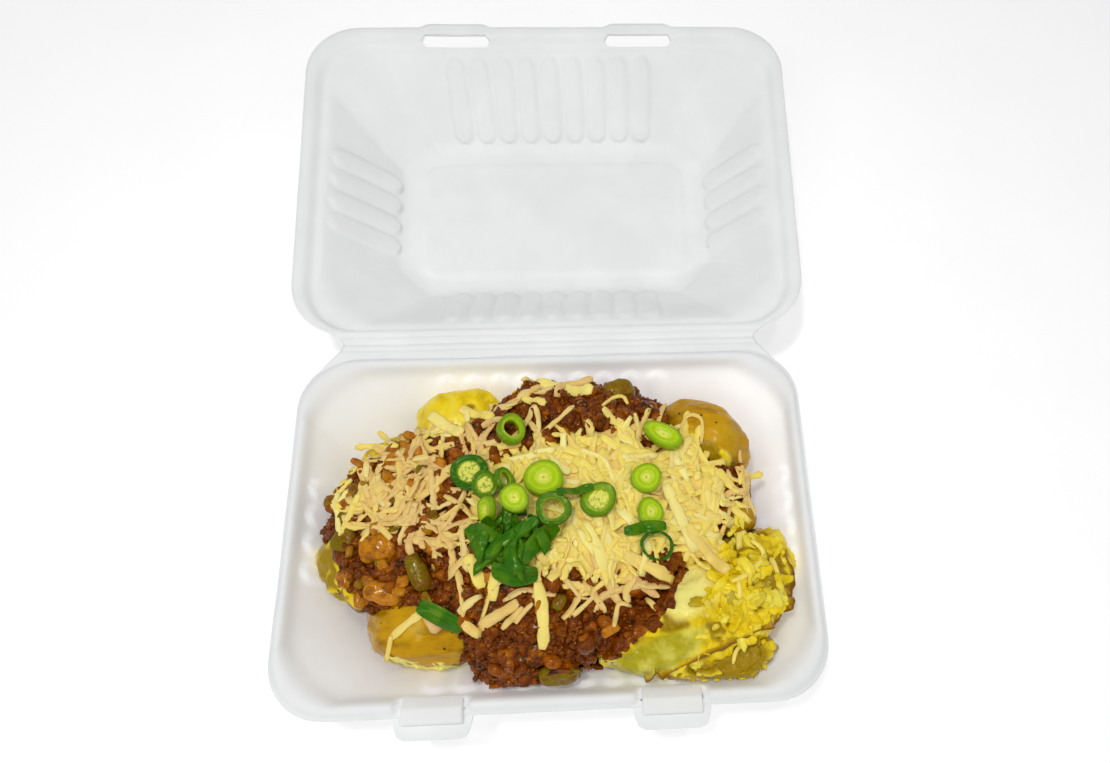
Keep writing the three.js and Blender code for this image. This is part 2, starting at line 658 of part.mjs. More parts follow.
const ONION_SLICES = {
  onion_back: { x: -15.4, y: 32, outer: 6, hole: 3.6, height: 3.4, squeeze: 1.15, turn: 1.2, lean: 0.5 },
  onion_left_large: { x: -31, y: 14, outer: 7.2, hole: 5, height: 2.4, squeeze: 1.12, turn: 2.2 },
  onion_left_small: { x: -24.6, y: 8, outer: 5.4, hole: 3.2, height: 2.6, turn: 0.4 },
  onion_left_third: { x: -17.6, y: 9.4, outer: 4.6, hole: 2.6, height: 2.6, lean: 0.3 },
  onion_pale_disc: { x: -1.2, y: 9.6, outer: 7.4, hole: 1.4, height: 3.6, squeeze: 1.12 },
  onion_mid: { x: -11.7, y: 0, outer: 6, hole: 1.1, height: 3.4 },
  onion_mid_left: { x: -22, y: -2.6, outer: 4.8, hole: 1, height: 3, squeeze: 1.2, turn: 1 },
  onion_open_ring: { x: 2.8, y: -4, outer: 6.6, hole: 4.2, height: 2.2, squeeze: 1.1, turn: 0.3 },
  onion_right_inner: { x: 20.3, y: 0.8, outer: 6.8, hole: 1.8, height: 3.2, squeeze: 1.08, turn: 0.8 },
  onion_right_disc: { x: 39.5, y: 9.5, outer: 6.6, hole: 1.6, height: 3.4, foot: 2.4 },
  onion_right_small: { x: 40.5, y: -5, outer: 5.2, hole: 1.4, height: 3, squeeze: 1.15, turn: 1.4 },
  onion_oblong: { x: 48.2, y: 29.4, outer: 5, hole: 1.5, height: 4, squeeze: 1.7, turn: -0.55 },
  onion_thin_ring: { x: 43, y: -18, outer: 7.2, hole: 6, height: 1.4, squeeze: 0.8, turn: 0.9 },
};

// A leaf: a thin wavy strip that drapes on what is under it. Both faces are split alike.
const LEAF_STEPS = 4;
const LEAF_THICK = 0.6;

function leafStrip({ x, y, length, width, turn, arch = 0, curl = 0, reach = 3 }, under) {
  const positions = [];
  const triangles = [];
  const top = [];
  for (let i = 0; i <= LEAF_STEPS; i++) {
    const t = i / LEAF_STEPS;
    const along = (t - 0.5) * length;
    const half = (width / 2) * (0.62 + 0.38 * Math.sin(Math.PI * mix(0.12, 0.95, t)));
    const sway = curl * Math.cos(Math.PI * (t - 0.5)) * length * 0.2;
    for (const side of [-1, 0, 1]) {
      const across = side * half + sway;
      const px = x + along * Math.cos(turn) - across * Math.sin(turn);
      const py = y + along * Math.sin(turn) + across * Math.cos(turn);
      const rise = arch * Math.sin(Math.PI * t) + 0.5 * Math.abs(side);
      top.push([px, py, surfaceUnder(under, px, py, reach) + GAP + LEAF_THICK + rise]);
    }
  }
  for (const drop of [0, LEAF_THICK]) top.forEach(([px, py, pz]) => positions.push(px, py, pz - drop));
  const count = top.length;
  const face = (a, b, c, d) => triangles.push(a, b, c, a, c, d);
  for (let i = 0; i < LEAF_STEPS; i++) {
    for (const side of [0, 1]) {
      const a = i * 3 + side;
      const [b, c, d] = [a + 3, a + 4, a + 1];
      face(a, b, c, d);
      triangles.push(count + a, count + c, count + b, count + a, count + d, count + c);
    }
    face(i * 3, count + i * 3, count + i * 3 + 3, i * 3 + 3);
    face(i * 3 + 5, count + i * 3 + 5, count + i * 3 + 2, i * 3 + 2);
  }
  for (const side of [0, 1]) {
    const last = LEAF_STEPS * 3 + side;
    face(side + 1, count + side + 1, count + side, side);
    face(last, count + last, count + last + 1, last + 1);
  }
  return toSolid(meshGeometry(positions, triangles));
}

const LEAVES = {
  leaf_1: { x: -25.5, y: -15.5, length: 19, width: 6.2, turn: -0.9 },
  leaf_2: { x: -19, y: -16.5, length: 21, width: 5.8, turn: -1.15, arch: 0.3 },
  leaf_3: { x: -13.5, y: -17.5, length: 19, width: 5.8, turn: -1.45, curl: 0.4 },
  leaf_4: { x: -7, y: -16, length: 19, width: 6.2, turn: -1.9, arch: 0.3 },
  leaf_5: { x: -2.6, y: -18, length: 20, width: 6.2, turn: 0.75, curl: 0.5 },
  leaf_6: { x: -21, y: -13.5, length: 16, width: 5.2, turn: -0.45, arch: 0.3 },
  leaf_7: { x: -10, y: -12.5, length: 17, width: 5, turn: 0.5, arch: 0.3, reach: 3.5 },
  leaf_front: { x: -12.5, y: -27, length: 18, width: 7.4, turn: -0.15, curl: -0.6, reach: 4.2 },
  leaf_lone: { x: -42.4, y: -42, length: 20, width: 7.5, turn: -0.5, reach: 3.4 },
  leaf_small: { x: 11.5, y: 4, length: 15, width: 4, turn: 0.25, arch: 0.3 },
  leaf_right: { x: 38.6, y: -11.5, length: 17, width: 5, turn: 0.05, arch: 0.3 },
};

// ---------------------------------------------------------------- assembly

function addMesh(parent, name, solid, material) {
  const mesh = new THREE.Mesh(toGeometry(solid), material);
  mesh.name = name;
  parent.add(mesh);
  return mesh;
}

const box = new THREE.Group();
addMesh(box, 'tray', makeTray(), PULP);

const hinge = new THREE.Group();
hinge.position.set(0, HINGE_Y, RIM_Z);
hinge.rotation.x = -LID_OPEN;
box.add(hinge);
addMesh(hinge, 'lid', makeLid().translate([0, -HINGE_Y, -RIM_Z]), PULP);

const room = makeRoom();
const laid = [];

// Each piece gives way to the ones laid before it.
const potatoMargins = [];
for (const [name, potato] of Object.entries(POTATOES)) {
  const solid = largest(cut(lump(potato), ...potatoMargins).intersect(room));
  potatoMargins.push(margin(potato));
  laid.push(addMesh(box, name, solid, potato.material));
}

const pepperMargins = [];
for (const [name, pepper] of Object.entries(PEPPERS)) {
  const spec = { ...pepper, detail: PEPPER_DETAIL };
  const solid = largest(cut(lump(spec), ...potatoMargins).intersect(room));
  pepperMargins.push(margin(spec));
  laid.push(addMesh(box, name, solid, PEPPER));
}

const chilliBody = join(makeChilliCore(0), ...chilliPieces(0)).intersect(room);
laid.push(addMesh(box, 'chilli', largest(cut(chilliBody, ...potatoMargins, ...pepperMargins)), CHILLI));

const keptOffCheese = [makeChilliCore(GAP), ...chilliPieces(GAP), ...potatoMargins, ...pepperMargins];
const cheeseCore = mound(cheeseOutline, CHEESE_RINGS, cheeseTop, (x, y) => heapTop(x, y) - 2 * CHEESE_DEPTH);
const cheese = largest(cut(join(cheeseCore, ...cheeseShreds()), ...keptOffCheese));
laid.push(addMesh(box, 'grated_cheese', cheese, CHEESE));

for (const [name, slice] of Object.entries(ONION_SLICES)) {
  laid.push(addMesh(box, name, onionSlice(slice, laid), ONION));
}
for (const [name, strip] of Object.entries(LEAVES)) {
  laid.push(addMesh(box, name, leafStrip(strip, laid), LEAF));
}

export default box;
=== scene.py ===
"""Dresses a takeaway meal: baked potatoes under chilli, cheese and spring onion in a pulp box."""

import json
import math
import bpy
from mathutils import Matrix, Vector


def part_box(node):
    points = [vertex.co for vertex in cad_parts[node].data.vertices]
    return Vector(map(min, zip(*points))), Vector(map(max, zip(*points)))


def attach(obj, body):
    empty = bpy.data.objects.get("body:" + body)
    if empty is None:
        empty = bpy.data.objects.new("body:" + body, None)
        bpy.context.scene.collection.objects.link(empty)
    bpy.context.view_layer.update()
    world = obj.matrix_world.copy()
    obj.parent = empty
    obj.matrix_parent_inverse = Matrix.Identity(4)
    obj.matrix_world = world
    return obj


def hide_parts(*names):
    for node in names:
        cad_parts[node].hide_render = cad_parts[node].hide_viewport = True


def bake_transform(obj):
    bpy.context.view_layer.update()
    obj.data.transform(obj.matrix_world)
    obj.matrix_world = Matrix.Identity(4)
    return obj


bl_info = {
    "name": "Loaded Baked Potato Box",
    "version": (1, 0, 0),
    "blender": (4, 5, 0),
    "location": "View3D > Sidebar > Baked Potato",
    "description": "Makes the box, the food and the stage of a loaded baked potato meal",
    "category": "Object",
}

import bmesh
import bpy
import numpy as np
from mathutils import Matrix, Vector
from mathutils.bvhtree import BVHTree

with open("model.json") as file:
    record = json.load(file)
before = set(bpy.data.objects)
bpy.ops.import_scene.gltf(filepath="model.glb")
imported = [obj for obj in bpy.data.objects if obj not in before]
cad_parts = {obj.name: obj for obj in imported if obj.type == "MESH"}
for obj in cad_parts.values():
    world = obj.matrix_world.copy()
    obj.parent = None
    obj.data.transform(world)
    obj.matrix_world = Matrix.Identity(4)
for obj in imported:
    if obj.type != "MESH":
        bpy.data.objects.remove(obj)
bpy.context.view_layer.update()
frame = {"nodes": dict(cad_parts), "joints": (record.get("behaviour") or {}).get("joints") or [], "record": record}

MM = 0.001  # meshes are shaped in millimetres and built in metres
HINGE = frame["joints"][0]

# ---------------------------------------------------------------- the box's own sizes, in mm

HINGE_Y = HINGE["pos_m"][1] / MM
RIM_Z = HINGE["pos_m"][2] / MM
LID_TURN = -math.radians(HINGE["range_deg"][1])
HALF_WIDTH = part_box("tray")[1].x / MM
RIM_TO_HINGE = 7.6  # from the tray's back rim to the hinge
HALF_DEPTH = HINGE_Y - RIM_TO_HINGE
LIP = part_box("lid")[1].x / MM - HALF_WIDTH
HALF_GAP = 0.2
CORNER_RADIUS = 24.0
CORNER_SHRINK = 0.2  # how much tighter a corner gets for each millimetre of inset
WIDTH_INSET = 0.93
LIP_FRONT, LIP_BACK = 1.04, 0.28
BEAD_TOP = RIM_Z + 3.8
LID_TOP = RIM_Z + 37.0
SHELF_Z = RIM_Z + 4.3
PANEL_RISE = 1.4
PULP = 1.2
TAB_X, TAB_WIDTH, TAB_BREAK = 47.3, 24.0, 28.0
FLAP_WIDTH, FLAP_REACH = 32.0, 8.6
SLOT_WIDTH, SLOT_DEPTH, SLOT_POINT, SLOT_INSET = 35.0, 4.4, 2.0, 0.2
THUMB_HALF, THUMB_REACH, THUMB_ROOT = 19.0, 2.2, HALF_DEPTH + 3
STRIP_HALF, STRIP_ROOT = 96.0, 107.0

# Wall sections, from the outer edge inwards: inset from the tray's rim, height, corner chamfer and
# corner radius.
TRAY_SECTION = [
    (0, RIM_Z - HALF_GAP, 0, 24), (1.2, RIM_Z - HALF_GAP, 0, 24), (1.9, BEAD_TOP - 1.4, 0, 24),
    (3.2, BEAD_TOP, 0, 23), (5.2, BEAD_TOP, 0.15, 23), (7.2, RIM_Z + 1.2, 0.4, 23),
    (9.4, RIM_Z - 3, 0.6, 22), (32, 6.6, 0.85, 18), (34.5, 3.2, 0.85, 17),
    (38.5, PULP, 0.85, 16), (44, PULP, 0.85, 15),
]
LID_SECTION = [
    (-LIP, RIM_Z + HALF_GAP, 0, 26), (-3.2, RIM_Z + HALF_GAP, 0, 25), (-0.5, SHELF_Z, 0, 24),
    (3.6, SHELF_Z, 0.3, 23), (6.2, SHELF_Z + 2.3, 0.6, 23), (30.5, LID_TOP - 6, 0.85, 18),
    (33.5, LID_TOP - 2.3, 0.85, 17), (38, LID_TOP, 0.85, 16), (45, LID_TOP, 0.2, 10),
    (46.4, LID_TOP - PANEL_RISE, 0.0, 8), (52, LID_TOP - PANEL_RISE, 0.0, 8),
]
TRAY_FLUTES = (RIM_Z - 2.4, 4.4)  # the heights between which the walls are fluted
LID_FLUTES = (SHELF_Z + 1.4, LID_TOP - 2.6)
FLUTE_PITCH = 12.1
FLUTE_COUNTS = (9, 4, 9, 4)  # back, left, front, right


def srgb(red, green, blue):
    """A colour of 0 to 255 as Blender's linear values."""
    parts = [value / 255 for value in (red, green, blue)]
    return tuple(v / 12.92 if v <= 0.04045 else ((v + 0.055) / 1.055) ** 2.4 for v in parts)


# ---------------------------------------------------------------- settings


def length(name, description, default):
    return bpy.props.FloatProperty(
        name=name, description=description, default=default * MM, min=0, subtype="DISTANCE", unit="LENGTH")


def colour(name, description, default):
    return bpy.props.FloatVectorProperty(
        name=name, description=description, default=srgb(*default), min=0, max=1, size=3, subtype="COLOR")


def count(name, description, default):
    return bpy.props.IntProperty(name=name, description=description, default=default, min=0)


class PulpBoxSettings(bpy.types.PropertyGroup):
    step: length("Mesh step", "Distance between the mesh's rows over a wall", 1.3)
    flute_rise: length("Flute rise", "How far the flutes stand out of the walls", 1.8)
    waviness: length("Waviness", "How uneven the pulp is", 0.22)
    colour: colour("Pulp", "Colour of the moulded pulp", (245, 246, 246))


class PotatoSettings(bpy.types.PropertyGroup):
    voxel: length("Voxel", "Fineness of the potato's mesh", 1.0)
    lumps: length("Lumps", "Height of the lumps of broken flesh", 2.4)
    crumbs: count("Crumbs", "Number of crumbs of broken flesh", 150)
    flesh: colour("Flesh", "Colour of the broken flesh", (248, 214, 2))
    flesh_pale: colour("Pale flesh", "Colour of dry crumbs of flesh", (250, 232, 84))
    # The deep flesh colour is partly the flesh's own darker tone and partly painted shade in its hollows and
    # crags.
    flesh_shade_and_tone: colour("Deep flesh", "Colour of the flesh in hollows", (164, 132, 0))
    skin: colour("Skin", "Colour of the oiled skin", (204, 152, 0))
    skin_dark: colour("Dark skin", "Colour of the skin's edges and browned places", (104, 54, 0))
    butter: colour("Butter", "Colour of the melted butter", (255, 243, 138))


class ChilliSettings(bpy.types.PropertyGroup):
    crumbs: count("Crumbs", "Number of crumbs of mince", 1500)
    beans: count("Beans", "Number of beans that stand out", 12)
    dice: count("Dice", "Number of small pieces of pepper and onion", 70)
    sauce: colour("Sauce", "Colour of the sauce", (118, 50, 0))
    # The dark sauce is partly the sauce's own darker tone and partly painted shade in the gaps between the
    # chilli's lumps.
    sauce_dark: colour("Dark sauce", "Colour of the sauce in hollows", (44, 12, 0))
    # The light sauce colour is a painted highlight: small amber spots spread by fine noise.
    sauce_painted_highlight: colour("Light sauce", "Colour of thin sauce", (214, 136, 2))
    mince: colour("Mince", "Colour of the mince", (164, 90, 0))
    bean: colour("Bean", "Colour of the beans", (164, 88, 2))
    pepper: colour("Pepper", "Colour of the cooked pepper", (120, 104, 0))


class CheeseSettings(bpy.types.PropertyGroup):
    shreds: count("Shreds", "Number of shreds of cheese", 430)
    shred_length: length("Shred length", "Length of a long shred", 28)
    shred_width: length("Shred width", "Width of a wide shred", 4.8)
    cream: colour("Cream", "Colour of the thick cheese", (255, 229, 110))
    pale: colour("Pale", "Colour of the palest shreds", (255, 243, 156))
    warm: colour("Warm", "Colour of thin cheese over the sauce", (232, 188, 122))


class OnionSettings(bpy.types.PropertyGroup):
    snips: count("Snips", "Number of small strips of leaf in the pile", 10)
    skin: colour("Green", "Colour of a slice's rim and of the leaves", (34, 100, 0))
    flesh: colour("Pale green", "Colour of a slice's rings", (176, 210, 0))
    heart: colour("Heart", "Colour of a slice's middle", (236, 236, 104))


class StageSettings(bpy.types.PropertyGroup):
    lens: bpy.props.FloatProperty(
        name="Focal length", description="Focal length on a 36 mm sensor, in millimetres",
        default=22.05, min=1)
    place: bpy.props.FloatVectorProperty(
        name="Camera place", description="Where the camera stands", default=(0.02456, -0.07627, 0.32476),
        size=3, subtype="TRANSLATION", unit="LENGTH")
    pitch: bpy.props.FloatProperty(
        name="Pitch", description="How far the camera looks down", default=1.26267, subtype="ANGLE")
    yaw: bpy.props.FloatProperty(
        name="Yaw", description="How far the camera looks to the right", default=0.14704, subtype="ANGLE")
    roll: bpy.props.FloatProperty(
        name="Roll", description="How far the camera is rolled", default=0.10868, subtype="ANGLE")
    shift: bpy.props.FloatVectorProperty(
        name="Shift", description="Shift of the lens, as a share of the frame's width",
        default=(-0.0754, 0.0943), size=2)
    floor: colour("Floor", "Colour of the floor", (252, 252, 252))


# ---------------------------------------------------------------- numbers

# The corners of a cell of noise, and the numbers that turn a corner's place into a chance value.
CORNERS_OF_CELL = np.array([[i, j, k] for i in (0, 1) for j in (0, 1) for k in (0, 1)])
CELL_PRIMES = np.array([73856093, 19349663, 83492791])
SCRAMBLES = [(13, 1274126177), (11, 668265263)]
LOW_31_BITS = 0x7FFFFFFF
SEED_STEP = 31.7


def noise(points, size, seed=0):
    """Smooth noise from -1 to 1 whose swells are about size millimetres across."""
    place = np.asarray(points, float) / size + SEED_STEP * (seed + 1)
    cell = np.floor(place).astype(np.int64)
    part = place - cell
    part = part * part * (3 - 2 * part)
    total = np.zeros(len(place))
    for corner in CORNERS_OF_CELL:
        key = (cell + corner) @ CELL_PRIMES
        for shift, factor in SCRAMBLES:
            key = ((key ^ (key >> shift)) * factor) & LOW_31_BITS
        value = ((key >> 8) & 0xFFFF) / 32767.5 - 1
        total += np.prod(np.where(corner, part, 1 - part), axis=1) * value
    return total


def swells(points, size, seed=0, octaves=3):
    """Noise of several sizes, each half as large and half as strong as the last."""
    return sum(noise(points, size / 2**k, seed + k) / 2**k for k in range(octaves))


def ramp(value, low, high):
    """0 below low, 1 above high, and smooth between."""
    t = np.clip((value - low) / (high - low), 0, 1)
    return t * t * (3 - 2 * t)


def mix(a, b, share_of_b):
    return a + (b - a) * share_of_b


# ---------------------------------------------------------------- meshes


TINY = 1e-9  # keeps a division by a length of 0 harmless
SMOOTHING = 0.6  # how far a round of smoothing moves a corner towards the mean of its neighbours


def unit(vectors, least=TINY):
    """Vectors along the last axis, each at length 1."""
    return vectors / np.maximum(np.linalg.norm(vectors, axis=-1, keepdims=True), least)


class Form:
    """A mesh being shaped: corners in millimetres, faces, and values kept at each corner."""

    def __init__(self, corners, faces, values=None):
        self.corners = np.asarray(corners, float)
        self.faces = faces
        self.values = values or {}

    def normals(self):
        quads = np.asarray(self.faces)
        a, b, c, d = (self.corners[quads[:, k % quads.shape[1]]] for k in (0, 1, 2, 3))
        across = np.cross(c - a, d - b) if quads.shape[1] == 4 else np.cross(b - a, c - a)
        total = np.zeros_like(self.corners)
        for k in range(quads.shape[1]):
            for axis in range(3):
                total[:, axis] += np.bincount(quads[:, k], across[:, axis], len(total))
        return unit(total)

    def push(self, amount):
        """Moves each corner along its normal."""
        self.corners = self.corners + self.normals() * np.reshape(amount, (-1, 1))

    def smooth(self, rounds):
        """Moves each corner towards the mean of its neighbours."""
        quads = np.asarray(self.faces)
        starts = quads.T.ravel()
        ends = np.roll(quads, -1, axis=1).T.ravel()
        number = len(self.corners)
        weight = np.bincount(starts, minlength=number) + np.bincount(ends, minlength=number)
        weight = np.maximum(weight, 1)
        for _ in range(rounds):
            mean = np.empty_like(self.corners)
            for axis in range(3):
                column = self.corners[:, axis]
                total = np.bincount(starts, column[ends], number)
                total = total + np.bincount(ends, column[starts], number)
                mean[:, axis] = total / weight
            self.corners = mix(self.corners, mean, SMOOTHING)

    def tree(self):
        return BVHTree.FromPolygons(self.corners.tolist(), np.asarray(self.faces).tolist())

    def build(self, name, body, slot, finish, replaced=(), sharp=None):
        """Makes the Blender object of this form, riding on a body of the frame unless that is None."""
        mesh = bpy.data.meshes.new(name)
        faces = self.faces.tolist() if isinstance(self.faces, np.ndarray) else self.faces
        mesh.from_pydata((self.corners * MM).tolist(), [], faces)
        for key, values in self.values.items():
            layer = mesh.attributes.new(key, "FLOAT", "POINT")
            layer.data.foreach_set("value", np.asarray(values, np.float32))
        mesh.shade_smooth()
        if sharp:
            mesh.set_sharp_from_angle(angle=math.radians(sharp))
        piece = bpy.data.objects.new(name, mesh)
        bpy.context.scene.collection.objects.link(piece)
        mesh.materials.append(finish)
        if body:
            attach(piece, body)
        if replaced:
            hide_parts(*replaced)
        return piece


def joined(forms):
    """Several forms of like faces as one."""
    starts = np.cumsum([0] + [len(form.corners) for form in forms[:-1]])
    corners = np.concatenate([form.corners for form in forms])
    faces = np.concatenate([np.asarray(form.faces) + start for form, start in zip(forms, starts)])
    values = {key: np.concatenate([form.values[key] for form in forms]) for key in forms[0].values}
    return Form(corners, faces, values)


def form_of(mesh):
    """The form of a Blender mesh whose faces all have the same number of corners."""
    corners = np.empty(len(mesh.vertices) * 3)
    mesh.vertices.foreach_get("co", corners)
    loops = np.empty(len(mesh.loops), np.int32)
    mesh.loops.foreach_get("vertex_index", loops)
    return Form(corners.reshape(-1, 3) / MM, loops.reshape(len(mesh.polygons), -1))


def reshaped(node, prepare):
    """The form of a CAD node after prepare(object) has given it modifiers."""
    mesh = frame["nodes"][node].data.copy()
    rough = bpy.data.objects.new("rough_" + node, mesh)
    bpy.context.scene.collection.objects.link(rough)
    prepare(rough)
    done = rough.evaluated_get(bpy.context.evaluated_depsgraph_get()).to_mesh()
    form = form_of(done)
    bpy.data.objects.remove(rough)
    bpy.data.meshes.remove(mesh)
    return form


def softened(node, voxel, rounds=4):
    """A CAD node as a fine even mesh with its edges rounded off."""
    def prepare(rough):
        remesh = rough.modifiers.new("Remesh", "REMESH")
        remesh.mode = "VOXEL"
        remesh.voxel_size = voxel * MM
    form = reshaped(node, prepare)
    form.smooth(rounds)
    return form


def rounded(node, levels):
    """A CAD node with its faces divided and rounded, for thin pieces."""
    def prepare(rough):
        weld = rough.modifiers.new("Weld", "WELD")
        weld.merge_threshold = 0.01 * MM
        divide = rough.modifiers.new("Subdivision", "SUBSURF")
        divide.levels = levels
    return reshaped(node, prepare)


def sheet(grid, thickness, values=None):
    """A closed sheet of even thickness under a grid of points (rows, columns, 3)."""
    rows, columns = grid.shape[:2]
    normal = unit(np.cross(np.gradient(grid, axis=0), np.gradient(grid, axis=1)))
    normal *= np.sign(normal[..., 2].mean() or 1)
    upper, lower = grid.reshape(-1, 3), (grid - normal * thickness).reshape(-1, 3)
    i, j = np.meshgrid(np.arange(rows - 1), np.arange(columns - 1), indexing="ij")
    a = (i * columns + j).ravel()
    top = np.stack([a, a + columns, a + columns + 1, a + 1], 1)
    under = top[:, ::-1] + rows * columns
    rim = np.concatenate([
        np.arange(columns), np.arange(1, rows) * columns + columns - 1,
        (rows - 1) * columns + np.arange(columns - 2, -1, -1), np.arange(rows - 2, 0, -1) * columns])
    after = np.roll(rim, -1)
    sides = np.stack([rim, after, after + rows * columns, rim + rows * columns], 1)
    both = {key: np.tile(np.broadcast_to(value, grid.shape[:2]).ravel(), 2)
            for key, value in (values or {}).items()}
    return Form(np.concatenate([upper, lower]), np.concatenate([top, under, sides]), both)


CORNER_CUTS = 3  # times that the corners of a given line are cut off


def even_line(points, step):
    """A smooth line through given points, as points about step apart."""
    points = np.asarray(points, float)
    for _ in range(CORNER_CUTS):
        pairs = np.repeat(points, 2, 0)[1:-1]
        first, second = pairs[0::2], pairs[1::2]
        inner = np.stack([mix(first, second, 0.25), mix(first, second, 0.75)], 1)
        inner = inner.reshape(-1, points.shape[1])
        points = np.concatenate([points[:1], inner[1:-1], points[-1:]])
    run = np.concatenate([[0], np.cumsum(np.linalg.norm(np.diff(points, axis=0), axis=1))])
    spots = np.linspace(0, run[-1], max(int(run[-1] / step), 3) + 1)
    return np.stack([np.interp(spots, run, column) for column in points.T], 1)


def node_frame(node):
    """The middle, axes and half sizes of a CAD node, its longest axis first."""
    corners = np.array([v.co for v in frame["nodes"][node].data.vertices]) / MM
    middle = (corners.min(0) + corners.max(0)) / 2
    _, _, axes = np.linalg.svd(corners - corners.mean(0), full_matrices=False)
    if axes[2][2] < 0:
        axes[2] = -axes[2]
    axes[1] = np.cross(axes[2], axes[0])
    spans = (corners - middle) @ axes.T
    middle = middle + ((spans.max(0) + spans.min(0)) / 2) @ axes
    return middle, axes, (spans.max(0) - spans.min(0)) / 2


def ball(subdivisions):
    """A ball of radius 1 with triangular faces."""
    shape = bmesh.new()
    bmesh.ops.create_icosphere(shape, subdivisions=subdivisions, radius=1)
    corners = np.array([v.co for v in shape.verts])
    faces = np.array([[v.index for v in face.verts] for face in shape.faces])
    shape.free()
    return corners, faces


def turned(random, number, upright):
    """Random rotation matrices. With upright at 1 their third axis is +Z, and at 0 it is anything."""
    yaw = random.uniform(0, 2 * np.pi, number)
    tip = random.uniform(-1, 1, (number, 2)) * (np.pi * (1 - upright))
    cy, sy = np.cos(yaw), np.sin(yaw)
    one, nil = np.ones(number), np.zeros(number)
    about_z = np.array([[cy, -sy, nil], [sy, cy, nil], [nil, nil, one]])
    cx, sx = np.cos(tip[:, 0]), np.sin(tip[:, 0])
    about_x = np.array([[one, nil, nil], [nil, cx, -sx], [nil, sx, cx]])
    return np.einsum("ijn,jkn->nik", about_z, about_x)


OFFSETS_OF_LUMPS = 60  # how far apart in the noise two lumps may look


def scattered_lumps(places, sizes, random, roughness, upright=0.0, detail=2, grain=0.9, blunt=1.0):
    """Uneven lumps of the given half sizes, one at each place, as one form. Below 1, blunt is boxy."""
    corners, faces = ball(detail)
    number = len(places)
    offsets = random.uniform(-OFFSETS_OF_LUMPS, OFFSETS_OF_LUMPS, (number, 1, 3))
    uneven = swells((corners[None] + offsets).reshape(-1, 3), grain, 5, 2)
    swell = 1 + roughness * uneven.reshape(number, -1, 1)
    shape = np.sign(corners) * np.abs(corners) ** blunt
    shaped = shape[None] * swell * sizes[:, None]
    shaped = np.einsum("nij,nkj->nki", turned(random, number, upright), shaped) + places[:, None]
    starts = np.arange(number)[:, None, None] * len(corners)
    return Form(shaped.reshape(-1, 3), (faces[None] + starts).reshape(-1, faces.shape[1]))


def for_each_lump(values, detail=2):
    """Values of each lump, repeated for its corners."""
    return np.repeat(values, len(ball(detail)[0]))


# ---------------------------------------------------------------- materials


MIX_FACTOR, MIX_A, MIX_B, MIX_RESULT = 0, 6, 7, 2  # a mix node's sockets for colours


class Finish:
    """A procedural material, built node by node round one shader."""

    def __init__(self, name, **constants):
        self.material = bpy.data.materials.new(name)
        self.material.use_nodes = True
        self.tree = self.material.node_tree
        self.shader = self.tree.nodes["Principled BSDF"]
        self.bump_to = None
        for key, value in constants.items():
            self.shader.inputs[key.replace("_", " ")].default_value = value
        self.place = self.node("TexCoord", {}, {}).outputs["Object"]

    def node(self, kind, settings, inputs):
        """Adds a node. An input is a socket to link or a constant."""
        node = self.tree.nodes.new("ShaderNode" + kind)
        for key, value in settings.items():
            setattr(node, key, value)
        for key, value in inputs.items():
            if isinstance(value, bpy.types.NodeSocket):
                self.tree.links.new(value, node.inputs[key])
            else:
                node.inputs[key].default_value = value
        return node

    def stretched(self, x, y, z):
        """The place with each axis scaled, so that a texture on it is drawn out."""
        return self.node("Mapping", {}, {"Vector": self.place, "Scale": (x, y, z)}).outputs[0]

    def noise(self, size, detail=3.0, roughness=0.55, place=None):
        """Noise with swells of about size millimetres, from 0 to 1."""
        return self.node("TexNoise", {}, {
            "Vector": place or self.place, "Scale": 1 / (size * MM), "Detail": detail,
            "Roughness": roughness}).outputs["Fac"]

    def cells(self, size, feature="F1"):
        """Distance to the nearest of random points about size millimetres apart."""
        return self.node("TexVoronoi", {"feature": feature}, {
            "Vector": self.place, "Scale": 1 / (size * MM)}).outputs["Distance"]

    def value(self, name):
        """A value kept at the mesh's corners."""
        return self.node("Attribute", {"attribute_name": name}, {}).outputs["Fac"]

    def each(self):
        """A random number from 0 to 1 for each loose piece of the mesh."""
        return self.node("NewGeometry", {}, {}).outputs["Random Per Island"]

    def between(self, value, low, high, to_low=0.0, to_high=1.0):
        """A value that goes smoothly from to_low to to_high while another goes from low to high."""
        return self.node("MapRange", {"interpolation_type": "SMOOTHSTEP"}, {
            "Value": value, "From Min": low, "From Max": high, "To Min": to_low,
            "To Max": to_high}).outputs[0]

    def maths(self, operation, a, b):
        return self.node("Math", {"operation": operation}, {0: a, 1: b}).outputs[0]

    def waves(self, value, number):
        """The sine of a value times a number."""
        return self.node("Math", {"operation": "SINE"}, {0: self.maths("MULTIPLY", value, number)}).outputs[0]

    def mixed(self, factor, a, b):
        """Mixes two colours, each a socket or three numbers."""
        a, b = (value if isinstance(value, bpy.types.NodeSocket) else (*value, 1) for value in (a, b))
        inputs = {MIX_FACTOR: factor, MIX_A: a, MIX_B: b}
        return self.node("Mix", {"data_type": "RGBA"}, inputs).outputs[MIX_RESULT]

    def colour(self, socket):
        self.tree.links.new(socket, self.shader.inputs["Base Color"])

    def gloss(self, socket):
        self.tree.links.new(socket, self.shader.inputs["Roughness"])

    def bump(self, height, distance, strength=1.0):
        """Adds relief of the given depth in millimetres over any relief added before."""
        inputs = {"Height": height, "Distance": distance * MM, "Strength": strength}
        if self.bump_to:
            inputs["Normal"] = self.bump_to
        self.bump_to = self.node("Bump", {}, inputs).outputs[0]
        self.tree.links.new(self.bump_to, self.shader.inputs["Normal"])


def blend_of(a, b, share_of_b):
    """A fixed colour between two others."""
    return tuple(mix(x, y, share_of_b) for x, y in zip(a, b))


def darker(values, share_left):
    return tuple(value * share_left for value in values)


PAINTED_GLOW = 0.12  # strength of the painted glow that lifts the shade on the tray's inner walls
